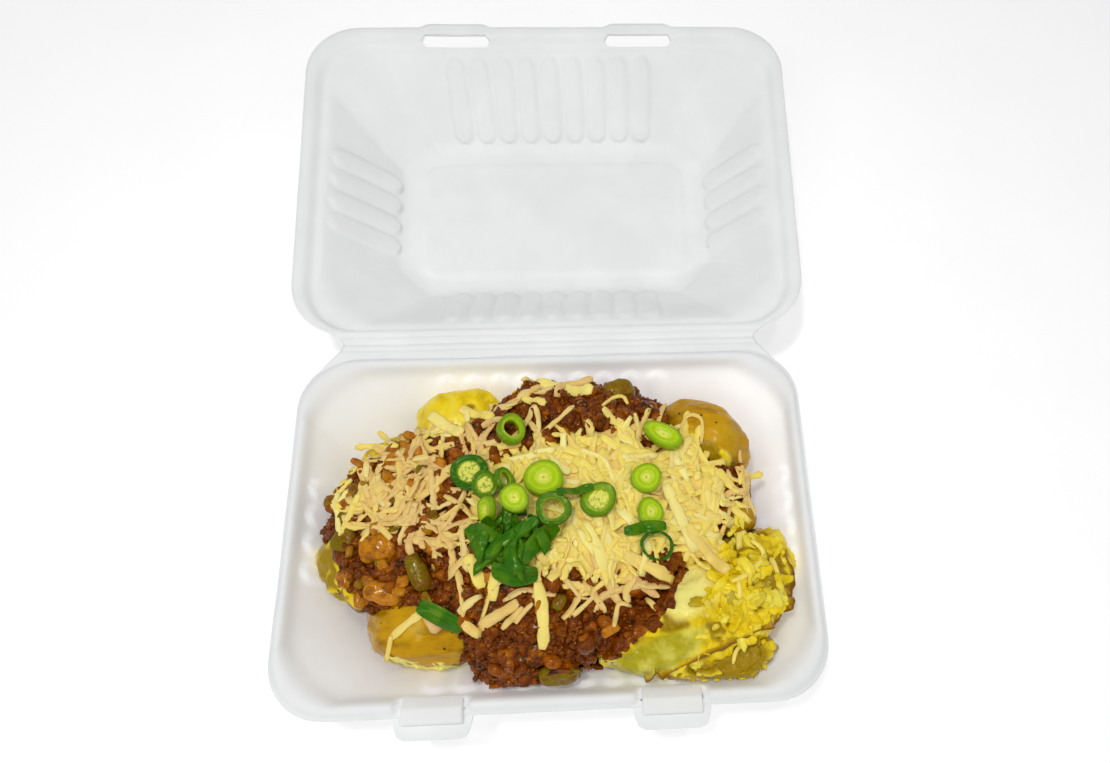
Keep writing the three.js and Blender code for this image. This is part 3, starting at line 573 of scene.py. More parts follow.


def pulp_finish(colour_of_pulp):
    look = Finish("moulded_pulp", Roughness=0.62, Specular_IOR_Level=0.35)
    fibre = look.noise(0.7, 5, 0.7)
    cloud = look.noise(26, 3, 0.5)
    look.colour(look.mixed(look.between(cloud, 0.35, 0.7), darker(colour_of_pulp, 0.955), colour_of_pulp))
    # Painted light: the tray's inner walls glow white by the value inside, to lift their shade.
    look.shader.inputs["Emission Color"].default_value = (1, 1, 1, 1)
    look.tree.links.new(look.maths("MULTIPLY", look.value("inside"), PAINTED_GLOW),
                        look.shader.inputs["Emission Strength"])
    look.bump(look.noise(5, 3, 0.6), 0.12, 0.6)
    look.bump(fibre, 0.05, 0.5)
    return look.material


LOBE_COLOURS = srgb(164, 158, 6), srgb(220, 212, 92)  # moist flesh, and a paler colour that noise spreads over it as painted highlights
OIL_COLOUR = srgb(222, 188, 30)  # where oil stands on the skin
SPECK_COLOUR = srgb(60, 34, 0)


def potato_finish(settings):
    look = Finish("potato", Subsurface_Weight=0.1, Subsurface_Scale=0.004, Subsurface_Radius=(1, 0.75, 0.1),
                  Specular_Tint=(1, 0.8, 0.25, 1), Specular_IOR_Level=0.35,
                  Coat_Weight=0.2, Coat_Roughness=0.14)
    broad, fine = look.noise(9, 4, 0.6), look.noise(1.8, 4, 0.65)
    each = look.each()
    inside = look.mixed(look.between(broad, 0.45, 0.68), settings.flesh, settings.flesh_pale)
    inside = look.mixed(look.between(broad, 0.3, 0.5, 0.4, 0), inside, settings.flesh_shade_and_tone)
    # Painted shade: the flesh darkens where it lies low and in its crags, by the value hollow.
    inside = look.mixed(look.between(look.value("hollow"), 0.3, 0.9), inside, settings.flesh_shade_and_tone)
    raised = look.between(look.value("hollow"), 0.3, 0.9, 1, 0.1)
    dry = look.maths("MAXIMUM", look.between(each, 0.85, 0.95, 0, 0.8),
                     look.between(fine, 0.58, 0.75, 0, 0.7))
    inside = look.mixed(look.maths("MULTIPLY", dry, raised), inside, settings.flesh_pale)
    # Painted highlights: paler patches by noise on the moist flesh.
    lobe = look.mixed(look.between(broad, 0.4, 0.75), *LOBE_COLOURS)
    inside = look.mixed(look.value("moist"), inside, lobe)
    inside = look.mixed(look.value("cream"), inside, settings.butter)
    specks = look.between(look.cells(6), 0.07, 0.11, 1, 0)
    patch = look.between(look.noise(8, 5, 0.65), 0.46, 0.7)
    outside = look.mixed(patch, settings.skin, blend_of(settings.skin, settings.skin_dark, 0.3))
    streaks = look.noise(7, 4, 0.6, look.stretched(0.35, 1.6, 1.0))
    outside = look.mixed(look.between(streaks, 0.5, 0.7, 0, 0.5), outside, settings.skin_dark)
    oil = look.between(look.noise(14, 3, 0.5), 0.5, 0.7, 0, 0.4)
    outside = look.mixed(oil, outside, OIL_COLOUR)
    # Browned skin and, with it, painted shade on the skin's steep and downward sides.
    outside = look.mixed(look.value("browning_and_shade"), outside, settings.skin_dark)
    outside = look.mixed(specks, outside, SPECK_COLOUR)
    look.colour(look.mixed(look.value("flesh"), outside, inside))
    look.gloss(look.between(fine, 0.3, 0.7, 0.12, 0.28))
    wrinkles = look.noise(2.6, 3, 0.6, look.stretched(0.4, 1.5, 1.0))
    look.bump(look.maths("MULTIPLY", wrinkles, look.between(look.value("flesh"), 0, 1, 1, 0)), 0.5, 0.6)
    strands = look.noise(3.0, 4, 0.6, look.stretched(1.6, 0.7, 1.0))
    torn = look.maths("ADD", strands, look.maths("MULTIPLY", fine, 0.5))
    look.bump(look.maths("MULTIPLY", torn, look.between(look.value("flesh"), 0, 1, 0.1, 1)), 0.9, 0.7)
    return look.material


# The wet surface of the chilli, with warm highlights.
WET = {"Specular_Tint": (1, 0.6, 0.2, 1), "Specular_IOR_Level": 0.4, "IOR": 1.4, "Coat_Weight": 0.2,
       "Coat_Roughness": 0.1}


def sauce_finish(settings):
    look = Finish("chilli_sauce", Subsurface_Weight=0.12, Subsurface_Scale=0.002, **WET)
    broad, fine = look.noise(6, 4, 0.6), look.noise(1.4, 4, 0.62)
    base = look.mixed(look.between(broad, 0.34, 0.5), settings.sauce_dark, settings.sauce)
    base = look.mixed(look.between(broad, 0.5, 0.66), base, settings.mince)
    # Painted highlights: small light amber spots by fine noise.
    base = look.mixed(look.between(fine, 0.58, 0.74, 0, 0.6), base, settings.sauce_painted_highlight)
    # Painted shade: the sauce darkens in the gaps between its lumps, by the value deep.
    look.colour(look.mixed(look.value("deep"), base, settings.sauce_dark))
    look.gloss(look.between(fine, 0.3, 0.7, 0.08, 0.22))
    look.bump(look.cells(2.0, "SMOOTH_F1"), 0.3, 0.5)
    look.bump(fine, 0.25, 0.7)
    return look.material


def mince_finish(settings):
    look = Finish("mince", Subsurface_Weight=0.12, Subsurface_Scale=0.002, **WET)
    each, grain = look.each(), look.noise(0.9, 4, 0.65)
    broad = look.between(look.noise(7, 3, 0.6), 0.35, 0.65)
    base = look.mixed(broad, blend_of(settings.sauce_dark, settings.sauce, 0.6), settings.sauce)
    base = look.mixed(look.maths("MULTIPLY", broad, look.between(each, 0.3, 1.0)), base, settings.mince)
    # Painted highlights: small light amber spots by fine noise.
    look.colour(look.mixed(look.between(grain, 0.56, 0.74, 0, 0.6), base, settings.sauce_painted_highlight))
    look.gloss(look.between(grain, 0.3, 0.7, 0.08, 0.2))
    look.bump(look.noise(2.2, 3, 0.6), 0.3, 0.5)
    look.bump(grain, 0.2, 0.7)
    return look.material


def bean_finish(settings):
    look = Finish("beans", Roughness=0.16, Subsurface_Weight=0.15, Subsurface_Scale=0.002, **WET)
    base = look.mixed(look.each(), blend_of(settings.bean, settings.sauce, 0.6), settings.bean)
    look.colour(look.mixed(look.between(look.noise(2.5, 3, 0.5), 0.45, 0.7), base, settings.sauce))
    look.bump(look.noise(1.4, 3, 0.5), 0.2, 0.7)
    return look.material


ORANGE_ONION = srgb(196, 126, 14)
PINKISH_ONION = srgb(186, 118, 44)


def pepper_finish(settings):
    """Olive pepper where the value warm is 0, orange onion where it is 0.5 and pinkish where it is 1."""
    look = Finish("cooked_pepper", Subsurface_Weight=0.25, Subsurface_Scale=0.003, Roughness=0.2, **WET)
    warm, blotch = look.value("warm"), look.noise(3.5, 4, 0.6)
    base = look.mixed(look.between(warm, 0.0, 0.5), settings.pepper, ORANGE_ONION)
    base = look.mixed(look.between(warm, 0.5, 1.0), base, PINKISH_ONION)
    look.colour(look.mixed(look.between(blotch, 0.42, 0.66, 0, 0.7), base, settings.sauce))
    look.bump(blotch, 0.5, 0.7)
    look.bump(look.noise(0.9, 3, 0.6), 0.25, 0.9)
    return look.material


def cheese_finish(name, settings):
    look = Finish(name, Subsurface_Weight=0.08, Subsurface_Scale=0.003, Subsurface_Radius=(1, 0.8, 0.4),
                  Roughness=0.4, Specular_IOR_Level=0.3, Specular_Tint=(1, 0.92, 0.6, 1))
    each = look.each()
    base = look.mixed(look.between(each, 0.45, 1.1), settings.cream, settings.pale)
    base = look.mixed(look.value("warm"), base, settings.warm)
    look.colour(look.mixed(look.between(look.noise(3, 3, 0.6), 0.5, 0.8, 0, 0.4), base, settings.pale))
    look.bump(look.noise(2.6, 3, 0.5), 0.3, 0.6)
    look.bump(look.noise(0.8, 3, 0.6), 0.12, 0.6)
    return look.material


def onion_finish(settings):
    look = Finish("spring_onion", Roughness=0.3, Subsurface_Weight=0.2, Subsurface_Scale=0.002,
                  Subsurface_Radius=(0.7, 1, 0.2), Specular_Tint=(0.9, 1, 0.5, 1), Specular_IOR_Level=0.35)
    radius, depth = look.value("radius"), look.value("depth")
    lines = look.waves(radius, 20.0)
    base = look.mixed(look.between(radius, 0.1, 0.5), settings.heart, settings.flesh)
    base = look.mixed(look.between(lines, 0.3, 1, 0, 0.25), base, settings.heart)
    green = look.mixed(depth, blend_of(settings.flesh, settings.skin, 0.35), settings.skin)
    base = look.mixed(look.between(radius, 0.72, 0.95), base, green)
    base = look.mixed(look.maths("MULTIPLY", depth, look.between(radius, 0.45, 0.7)), base, green)
    seeds = look.between(look.noise(1.5, 2, 0.5), 0.47, 0.6, 0, 0.8)
    seeds = look.maths("MULTIPLY", seeds, look.maths("MULTIPLY", depth, look.between(radius, 0.3, 0.1)))
    base = look.mixed(seeds, base, blend_of(settings.skin, settings.heart, 0.25))
    pale = look.between(look.noise(1.6, 3, 0.6), 0.5, 0.8, 0, 0.3)
    look.colour(look.mixed(pale, base, settings.heart))
    look.bump(lines, 0.12, 0.5)
    look.bump(look.noise(0.8, 3, 0.6), 0.1, 0.5)
    return look.material


def leaf_finish(settings):
    look = Finish("onion_leaf", Roughness=0.28, Subsurface_Weight=0.1, Subsurface_Scale=0.002,
                  Specular_Tint=(0.8, 1, 0.4, 1), Specular_IOR_Level=0.35)
    veins = look.waves(look.value("across"), 17.0)
    base = look.mixed(look.between(look.noise(6, 3, 0.5), 0.4, 0.65), settings.skin,
                      blend_of(settings.skin, settings.flesh, 0.12))
    look.colour(look.mixed(look.between(veins, 0.2, 1.0, 0, 0.05), base, settings.flesh))
    look.bump(veins, 0.04, 0.25)
    return look.material


def floor_finish(colour_of_floor):
    look = Finish("floor", Roughness=0.9, Specular_IOR_Level=0.1, Emission_Color=(1, 1, 1, 1),
                  Emission_Strength=0.22)
    cloud = look.between(look.noise(60, 3, 0.5), 0.3, 0.7)
    look.colour(look.mixed(cloud, darker(colour_of_floor, 0.985), colour_of_floor))
    return look.material


# ---------------------------------------------------------------- the box

CORNER_POINTS = 11
SIDE_POINTS = (128, 72, 128, 72)
QUARTER = np.pi / 2
WALL_SLOPE = 1.24  # length of the wall for each millimetre of its height
FLUTE_FILL = 0.96  # share of the pitch that a flute's crest may take
ROUND_EDGE = 0.45  # how far a shell's edge stands out, as a share of the pulp's thickness
TAB_NOTCH_RISE = 0.4  # the rim's height above the hinge's where the tabs interrupt the bead
TAB_NOTCH_DEPTH = 12  # how far in from the front the bead is interrupted
PAINTED_GLOW_FROM, PAINTED_GLOW_TO = 1.5, 7.0  # depths below the bead over which the painted glow on the tray's inner walls sets in
PAINTED_GLOW_CORNER = 1.3  # how much more of the painted glow there is in the back right corner
CUTTER_FROM, CUTTER_TALL = RIM_Z - 4, 13


def fine_section(section, step):
    """A wall section sampled every step millimetres, with its bends rounded off."""
    points = np.array(section, float)
    run = np.concatenate([[0], np.cumsum(np.hypot(*np.diff(points[:, :2], axis=0).T))])
    spots = np.linspace(0, run[-1], int(run[-1] / step) + 1)
    fine = np.stack([np.interp(spots, run, column) for column in points.T], 1)
    for _ in range(2):
        fine[1:-1] = (fine[:-2] + 2 * fine[1:-1] + fine[2:]) / 4
    return fine


def offset(fine, distance):
    """A fine section moved along its upward normals."""
    run = np.gradient(fine[:, :2], axis=0)
    run /= np.linalg.norm(run, axis=1, keepdims=True)
    moved = fine.copy()
    moved[:, 0] -= run[:, 1] * distance
    moved[:, 1] += run[:, 0] * distance
    return moved


def rings_of(fine):
    """The rings of a fine section, as rows of points, anticlockwise from the right."""
    inset, height, chamfer, radius = fine.T
    outside = inset < 0
    half_x = HALF_WIDTH - inset * np.where(outside, 1, WIDTH_INSET)
    front = HALF_DEPTH - inset * np.where(outside, LIP_FRONT, 1)
    back = HALF_DEPTH - inset * np.where(outside, LIP_BACK, 1)
    arcs = []
    for corner, (sign_x, sign_y) in enumerate([(1, 1), (-1, 1), (-1, -1), (1, -1)]):
        turn = (corner + np.linspace(0, 1, CORNER_POINTS)) * QUARTER
        start, end = corner * QUARTER, (corner + 1) * QUARTER
        along = np.linspace(0, 1, CORNER_POINTS)[:, None]
        flat = (1 - along) * [np.cos(start), np.sin(start)] + along * [np.cos(end), np.sin(end)]
        arc = np.stack([np.cos(turn), np.sin(turn)], 1)
        shape = mix(arc[None], flat[None], chamfer[:, None, None])
        centre_y = np.where(sign_y > 0, back - radius, radius - front)
        centre = np.stack([sign_x * (half_x - radius), centre_y], 1)
        arcs.append(centre[:, None] + radius[:, None, None] * shape)
    parts = []
    for corner, number in enumerate(SIDE_POINTS):
        a, b = arcs[corner][:, -1:], arcs[(corner + 1) % 4][:, :1]
        t = (np.arange(1, number + 1) / (number + 1))[None, :, None]
        parts += [arcs[corner], mix(a, b, t)]
    flat = np.concatenate(parts, 1)
    return np.concatenate([flat, np.broadcast_to(height[:, None, None], (*flat.shape[:2], 1))], 2)


def side_of_points():
    """The side that each point of a ring lies on, or -1 in a corner."""
    return np.concatenate([np.r_[np.full(CORNER_POINTS, -1), np.full(number, side)]
                           for side, number in enumerate(SIDE_POINTS)])


def flutes(rings, heights, rise):
    """How far the flutes stand out at each point of the rings."""
    side = side_of_points()
    high, low = max(heights), min(heights)
    z = rings[..., 2]
    from_end = np.minimum(high - z, z - low) * WALL_SLOPE
    total = np.zeros(z.shape)
    for k, number in enumerate(FLUTE_COUNTS):
        on_side = side == k
        along = rings[:, on_side, 0 if k % 2 == 0 else 1] / FLUTE_PITCH
        shift = 0 if number % 2 else 0.5
        centre = np.round(along - shift) + shift
        across = np.abs(along - centre) * 2
        near = np.clip(from_end[:, on_side] / (FLUTE_PITCH / 2), 0, 1)
        half = np.sqrt(np.clip(1 - (1 - near) ** 2, 0, 1))
        shape = (1 - across**3) * ramp(half - FLUTE_FILL * across, 0.0, 0.3)
        total[:, on_side] = np.where(np.abs(centre) <= (number - 1) / 2, shape, 0) * rise
    return np.where(from_end > 0, total, 0)


def wall_normals(rings):
    """Upward normals of the rings' surface."""
    down = np.gradient(rings, axis=0)
    round_ring = np.roll(rings, -1, 1) - np.roll(rings, 1, 1)
    normal = np.cross(round_ring, down)
    normal *= np.sign(normal[..., 2:3] + 1e-12)
    return unit(normal)


def near_tabs(x, half_width, fade):
    """1 within half_width of a tab's middle, fading to 0."""
    return 1 - ramp(np.minimum(np.abs(x - TAB_X), np.abs(x + TAB_X)), half_width, half_width + fade)


def shell(section, flute_heights, settings, food_side):
    """The rows of a moulded shell of even thickness. food_side is 1 where food lies above it, else -1."""
    fine = fine_section(section, settings.step / MM)
    inner = rings_of(fine)
    outer = rings_of(offset(fine, -food_side * PULP))
    relief = flutes(inner, flute_heights, settings.flute_rise / MM)
    relief += settings.waviness / MM * swells(inner.reshape(-1, 3), 24, 3, 2).reshape(relief.shape)
    push = wall_normals(inner) * relief[..., None] * food_side
    inner, outer = inner + push, outer + push
    lower, upper = (outer, inner) if food_side > 0 else (inner, outer)
    edge = (lower[:1] + upper[:1]) / 2
    edge[..., :2] *= 1 + ROUND_EDGE * PULP / HALF_WIDTH
    return np.concatenate([lower[::-1], edge, upper])


def shell_faces(rows):
    """The faces over a shell's rows, with its two ends closed."""
    number, around = rows.shape[:2]
    first = np.arange(number - 1)[:, None] * around
    i = np.arange(around)[None]
    after = (i + 1) % around
    quads = np.stack([first + i, first + after, first + around + after, first + around + i], -1)
    faces = quads.reshape(-1, 4).tolist()
    faces.append(list(range(around))[::-1])
    faces.append([(number - 1) * around + k for k in range(around)])
    return faces


def opened(points):
    """Points of the shut lid, turned open about the hinge."""
    y, z = points[..., 1] - HINGE_Y, points[..., 2] - RIM_Z
    c, s = math.cos(LID_TURN), math.sin(LID_TURN)
    return np.stack([points[..., 0], HINGE_Y + y * c - z * s, RIM_Z + y * s + z * c], -1)


def prism(outline, thickness, bevel, place):
    """A plate with a rounded edge. place(u, v, w) gives the corner of a point of it."""
    shape = bmesh.new()
    rings = [[shape.verts.new(place(u, v, w)) for u, v in outline] for w in (0, thickness)]
    shape.faces.new(rings[0][::-1])
    shape.faces.new(rings[1])
    number = len(outline)
    for k in range(number):
        after = (k + 1) % number
        shape.faces.new([rings[0][k], rings[0][after], rings[1][after], rings[1][k]])
    bmesh.ops.recalc_face_normals(shape, faces=shape.faces)
    if bevel:
        bmesh.ops.bevel(shape, geom=shape.edges[:], offset=bevel, segments=3, profile=0.6,
                        affect="EDGES", clamp_overlap=True)
    shape.verts.index_update()
    corners = np.array([v.co for v in shape.verts])
    faces = [[v.index for v in face.verts] for face in shape.faces]
    shape.free()
    return corners, faces


def gathered(parts):
    """Several (corners, faces) with any faces, as one form."""
    corners, faces, start = [], [], 0
    for part_corners, part_faces in parts:
        corners.append(part_corners)
        faces += [[start + k for k in face] for face in part_faces]
        start += len(part_corners)
    return Form(np.concatenate(corners), faces)


class BOX_OT_tray(bpy.types.Operator):
    """Makes the tray with its rolled rim, fluted walls and locking tabs"""
    bl_idname = "potato_box.tray"
    bl_label = "Tray"

    def execute(self, context):
        settings = context.scene.pulp_box
        rows = shell(TRAY_SECTION, TRAY_FLUTES, settings, 1)
        at_front = rows[..., 1] < TAB_NOTCH_DEPTH - HALF_DEPTH
        broken = near_tabs(rows[..., 0], TAB_BREAK / 2 - 1, 2.0) * at_front
        rows[..., 2] -= np.maximum(rows[..., 2] - RIM_Z - TAB_NOTCH_RISE, 0) * broken
        # Painted glow: how much the inner walls glow, growing with depth below the bead and towards the back right
        # corner.
        deep = ramp(BEAD_TOP - rows[..., 2], PAINTED_GLOW_FROM, PAINTED_GLOW_TO)
        to_corner = rows[..., 0] / HALF_WIDTH + rows[..., 1] / HALF_DEPTH
        deep *= 1 + PAINTED_GLOW_CORNER * ramp(to_corner, 0.1, 0.9)
        deep[:len(rows) // 2] = 0  # the shell's underside
        Form(rows.reshape(-1, 3), shell_faces(rows), {"inside": deep.ravel()}).build(
            "tray_shell", "tray", "pulp", pulp_finish(settings.colour), ["tray"])
        make_tabs(pulp_finish(settings.colour))
        return {"FINISHED"}


# A tab's outline from the side: how far in from the tray's front, and how far above the hinge.
TAB_BLOCK = [(-2.9, -2.4), (5.4, -0.4), (7.4, 0.9), (3.4, 3.2), (-1.9, 3.4), (-2.9, 2.4)]


def make_tabs(finish):
    """The two locking tabs, each a block on the rim with a flap in front of it."""
    parts = []
    for middle in (-TAB_X, TAB_X):
        parts.append(prism(TAB_BLOCK, TAB_WIDTH, 0.9, lambda y, z, w, m=middle: (
            m - TAB_WIDTH / 2 + w, y - HALF_DEPTH, z + RIM_Z)))
        half = FLAP_WIDTH / 2
        side = [(half, 1.2), (half - 1.0, -FLAP_REACH + 4.4), (half - 2.2, -FLAP_REACH + 1.4),
                (half - 5.0, -FLAP_REACH)]
        outline = [(-x, y) for x, y in side] + side[::-1]
        parts.append(prism(outline, PULP, 0.35, lambda x, y, w, m=middle: (
            m + x, y - HALF_DEPTH, RIM_Z - HALF_GAP - PULP + w)))
    gathered(parts).build("locking_tabs", "tray", "pulp", finish, sharp=50)


class BOX_OT_lid(bpy.types.Operator):
    """Makes the open lid with its flange, fluted walls, raised panel and two slots"""
    bl_idname = "potato_box.lid"
    bl_label = "Lid"

    def execute(self, context):
        settings = context.scene.pulp_box
        rows = shell(LID_SECTION, LID_FLUTES, settings, -1)
        on_lip = ramp(-rows[..., 1], THUMB_ROOT, HALF_DEPTH + LIP)
        rows[..., 1] -= THUMB_REACH * on_lip * near_tabs(rows[..., 0], THUMB_HALF - 6, 6)
        lid = Form(opened(rows).reshape(-1, 3), shell_faces(rows)).build(
            "lid_shell", "lid", "pulp", pulp_finish(settings.colour), ["lid"])
        self.cut_slots(lid)
        return {"FINISHED"}

    def cut_slots(self, lid):
        """Cuts the two slots, pointed at both ends, through the lid's front flange."""
        near, far = SLOT_INSET - HALF_DEPTH, SLOT_INSET - HALF_DEPTH - SLOT_DEPTH
        tip, side = SLOT_WIDTH / 2, SLOT_WIDTH / 2 - SLOT_POINT
        outline = [(-tip, (near + far) / 2), (-side, far), (side, far), (tip, (near + far) / 2),
                   (side, near), (-side, near)]
        cutters = []
        for middle in (-TAB_X, TAB_X):
            corners, faces = prism([(x + middle, y) for x, y in outline], CUTTER_TALL, 0.0,
                                   lambda x, y, w: (x, y, CUTTER_FROM + w))
            cutters.append((opened(corners), faces))
        form = gathered(cutters)
        mesh = bpy.data.meshes.new("slot_cutter")
        mesh.from_pydata((form.corners * MM).tolist(), [], form.faces)
        cutter = bpy.data.objects.new("slot_cutter", mesh)
        bpy.context.scene.collection.objects.link(cutter)
        cut = lid.modifiers.new("Slots", "BOOLEAN")
        cut.operation, cut.solver, cut.object = "DIFFERENCE", "EXACT", cutter
        done = bpy.data.meshes.new_from_object(
            lid.evaluated_get(bpy.context.evaluated_depsgraph_get()))
        if len(done.polygons) < len(lid.data.polygons) / 2:
            raise RuntimeError("cutting the slots lost the lid")
        lid.modifiers.clear()
        lid.data = done
        lid.data.set_sharp_from_angle(angle=math.radians(60))
        bpy.data.objects.remove(cutter)


def rim_line(x, inset):
    """How far back the rim at an inset reaches at each x, along the hinge's side of the box."""
    half = HALF_WIDTH - inset * (1 if inset < 0 else WIDTH_INSET)
    back = HALF_DEPTH - inset * (LIP_BACK if inset < 0 else 1)
    radius = CORNER_RADIUS - CORNER_SHRINK * inset
    past = np.clip(np.abs(x) - (half - radius), 0, radius)
    return back - radius + np.sqrt(radius**2 - past**2)


CREASE_DEPTH, CREASE_WIDTH = 0.75, 0.9
SIDE_CREASE_DEPTH, SIDE_CREASE_WIDTH, SIDE_CREASE_AWAY = 0.3, 0.7, 3.4
STRIP_FLARE = 2.4  # how suddenly the strip widens to its roots
STRIP_TO_TRAY, STRIP_TO_LID = 0.9, 1.5 - LIP  # insets of the rims that it reaches


class BOX_OT_hinge_strip(bpy.types.Operator):
    """Makes the creased strip of pulp that joins the tray and the lid"""
    bl_idname = "potato_box.hinge_strip"
    bl_label = "Hinge strip"

    def execute(self, context):
        along = np.linspace(-1, 1, 180)[:, None]
        share_across = np.linspace(-1, 1, 41)[None]
        x = along * (STRIP_HALF + (STRIP_ROOT - STRIP_HALF) * np.abs(share_across) ** STRIP_FLARE)
        to_tray = HINGE_Y - rim_line(x, STRIP_TO_TRAY)
        to_lid = HINGE_Y - rim_line(x, STRIP_TO_LID)
        across = np.where(share_across < 0, to_tray, to_lid) * share_across
        lift = np.where(across > 0, across * math.tan(math.pi + LID_TURN), 0)
        beside = np.abs(across) - SIDE_CREASE_AWAY
        crease = CREASE_DEPTH * np.exp(-((across / CREASE_WIDTH) ** 2))
        crease = crease + SIDE_CREASE_DEPTH * np.exp(-((beside / SIDE_CREASE_WIDTH) ** 2))
        top = RIM_Z - HALF_GAP + 0.25 + lift - crease + 0.15 * np.sin(x * 0.11)
        y = HINGE_Y + across
        strip = sheet(np.stack([x, y, top], -1), PULP)
        piece = strip.build("hinge_strip", None, "pulp", pulp_finish(context.scene.pulp_box.colour))
        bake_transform(piece)
        return {"FINISHED"}


# ---------------------------------------------------------------- the heap of food

LID_CLEAR = 1.0  # food keeps this far from the walls of the tray and of the shut lid
ROOM_HEIGHTS = [PULP, 6.6, RIM_Z - 3, RIM_Z + 1.2, SHELF_Z + 2.3, LID_TOP - 6, LID_TOP - 2.3]
ROOM_INSETS = [38.5, 32, 9.4, 8.6, 9.8, 32.1, 35.1]


def kept_in(points):
    """Points moved inwards so that they clear the tray and the shut lid."""
    x, y, z = points.T
    z = np.clip(z, PULP + 0.6, LID_TOP - PANEL_RISE - PULP)
    inset = np.interp(z, ROOM_HEIGHTS, ROOM_INSETS) + LID_CLEAR
    wide = HALF_WIDTH - WIDTH_INSET * inset
    deep = HALF_DEPTH - inset
    corner = wide + deep - (CORNER_RADIUS - CORNER_SHRINK * inset)
    over = np.maximum(np.abs(x) + np.abs(y) - corner, 0) / 2
    x = np.sign(x) * np.minimum(np.abs(x) - over, wide)
    y = np.sign(y) * np.minimum(np.abs(y) - over, deep)
    return np.stack([x, y, z], 1)


GRID_STEP = 1.0
GRID_X = np.arange(-112, 112, GRID_STEP)
GRID_Y = np.arange(-80, 80, GRID_STEP)
EMPTY = -1e3
SKY = 200  # a height above all of the food
DOWN = Vector((0, 0, -1))


class HeightMap:
    """The height of the food from above, over a grid of the tray."""

    def __init__(self):
        self.z = np.full((len(GRID_X), len(GRID_Y)), EMPTY)
        self.owner = np.full(self.z.shape, "", object)

    def cover(self, form, owner):
        """Raises the map to a form, and notes where the form is on top."""
        tree = form.tree()
        low, high = form.corners.min(0), form.corners.max(0)
        for i in np.flatnonzero((GRID_X >= low[0]) & (GRID_X <= high[0])):
            for j in np.flatnonzero((GRID_Y >= low[1]) & (GRID_Y <= high[1])):
                hit = tree.ray_cast(Vector((GRID_X[i], GRID_Y[j], SKY)), DOWN)[0]
                if hit is not None and hit.z > self.z[i, j]:
                    self.z[i, j] = hit.z
                    self.owner[i, j] = owner

    def cells(self, x, y):
        """The grid's nearest points to some places."""
        i = np.clip(np.round((x - GRID_X[0]) / GRID_STEP).astype(int), 0, len(GRID_X) - 1)
        j = np.clip(np.round((y - GRID_Y[0]) / GRID_STEP).astype(int), 0, len(GRID_Y) - 1)
        return i, j

    def at(self, x, y):
        """Smooth heights between the grid's points."""
        u = np.clip((x - GRID_X[0]) / GRID_STEP, 0, len(GRID_X) - 1.001)
        v = np.clip((y - GRID_Y[0]) / GRID_STEP, 0, len(GRID_Y) - 1.001)
        i, j = u.astype(int), v.astype(int)
        fu, fv = u - i, v - j
        return (self.z[i, j] * (1 - fu) * (1 - fv) + self.z[i + 1, j] * fu * (1 - fv)
                + self.z[i, j + 1] * (1 - fu) * fv + self.z[i + 1, j + 1] * fu * fv)

    def lay(self, points, thickness=0.0):
        """Raises the map where pieces were laid."""
        np.maximum.at(self.z, self.cells(points[:, 0], points[:, 1]), points[:, 2] + thickness)

    def rises(self, x, y):
        """How much the food rises over 2 mm to the right and over 2 mm to the back."""
        return self.at(x + 1, y) - self.at(x - 1, y), self.at(x, y + 1) - self.at(x, y - 1)


HEAP = HeightMap()
COVER = HeightMap()  # the CAD model's own heights

# Ellipses over the heap: their middle and half widths in mm, and how far they are turned.
THICK_CHEESE = {"x": 16.0, "y": 3.0, "half_x": 66.0, "half_y": 37.0}
BUTTER = {"x": 54.0, "y": -33.0, "half_x": 13.0, "half_y": 13.0}
LOBE = {"x": 38.0, "y": -62.0, "half_x": 26.0, "half_y": 8.0, "turn": 0.4}  # smooth moist flesh


def away_from(ellipse, x, y):
    """How far places are from an ellipse's middle, with 1 on the ellipse."""
    c, s = math.cos(ellipse.get("turn", 0)), math.sin(ellipse.get("turn", 0))
    u, v = x - ellipse["x"], y - ellipse["y"]
    return np.hypot((u * c + v * s) / ellipse["half_x"], (v * c - u * s) / ellipse["half_y"])


def on_floor(x, y):
    """Places as rows of three numbers, at height 0."""
    return np.stack([x, y, np.zeros_like(x)], -1).reshape(-1, 3)


def cheese_share(x, y):
    """1 where the cheese is thick, 0 where shreds lie loose on the chilli."""
    uneven = swells(on_floor(x, y), 16, 8, 3).reshape(np.shape(x))
    return 1 - ramp(away_from(THICK_CHEESE, x, y) + 0.24 * uneven, 0.72, 1.0)


def lobe_share(x, y):
    return 1 - ramp(away_from(LOBE, x, y), 0.7, 1.1)


def butter_share(points):
    away = away_from(BUTTER, points[:, 0], points[:, 1])
    return 1 - ramp(away + 0.2 * noise(points, 6, 3), 0.6, 1.15)


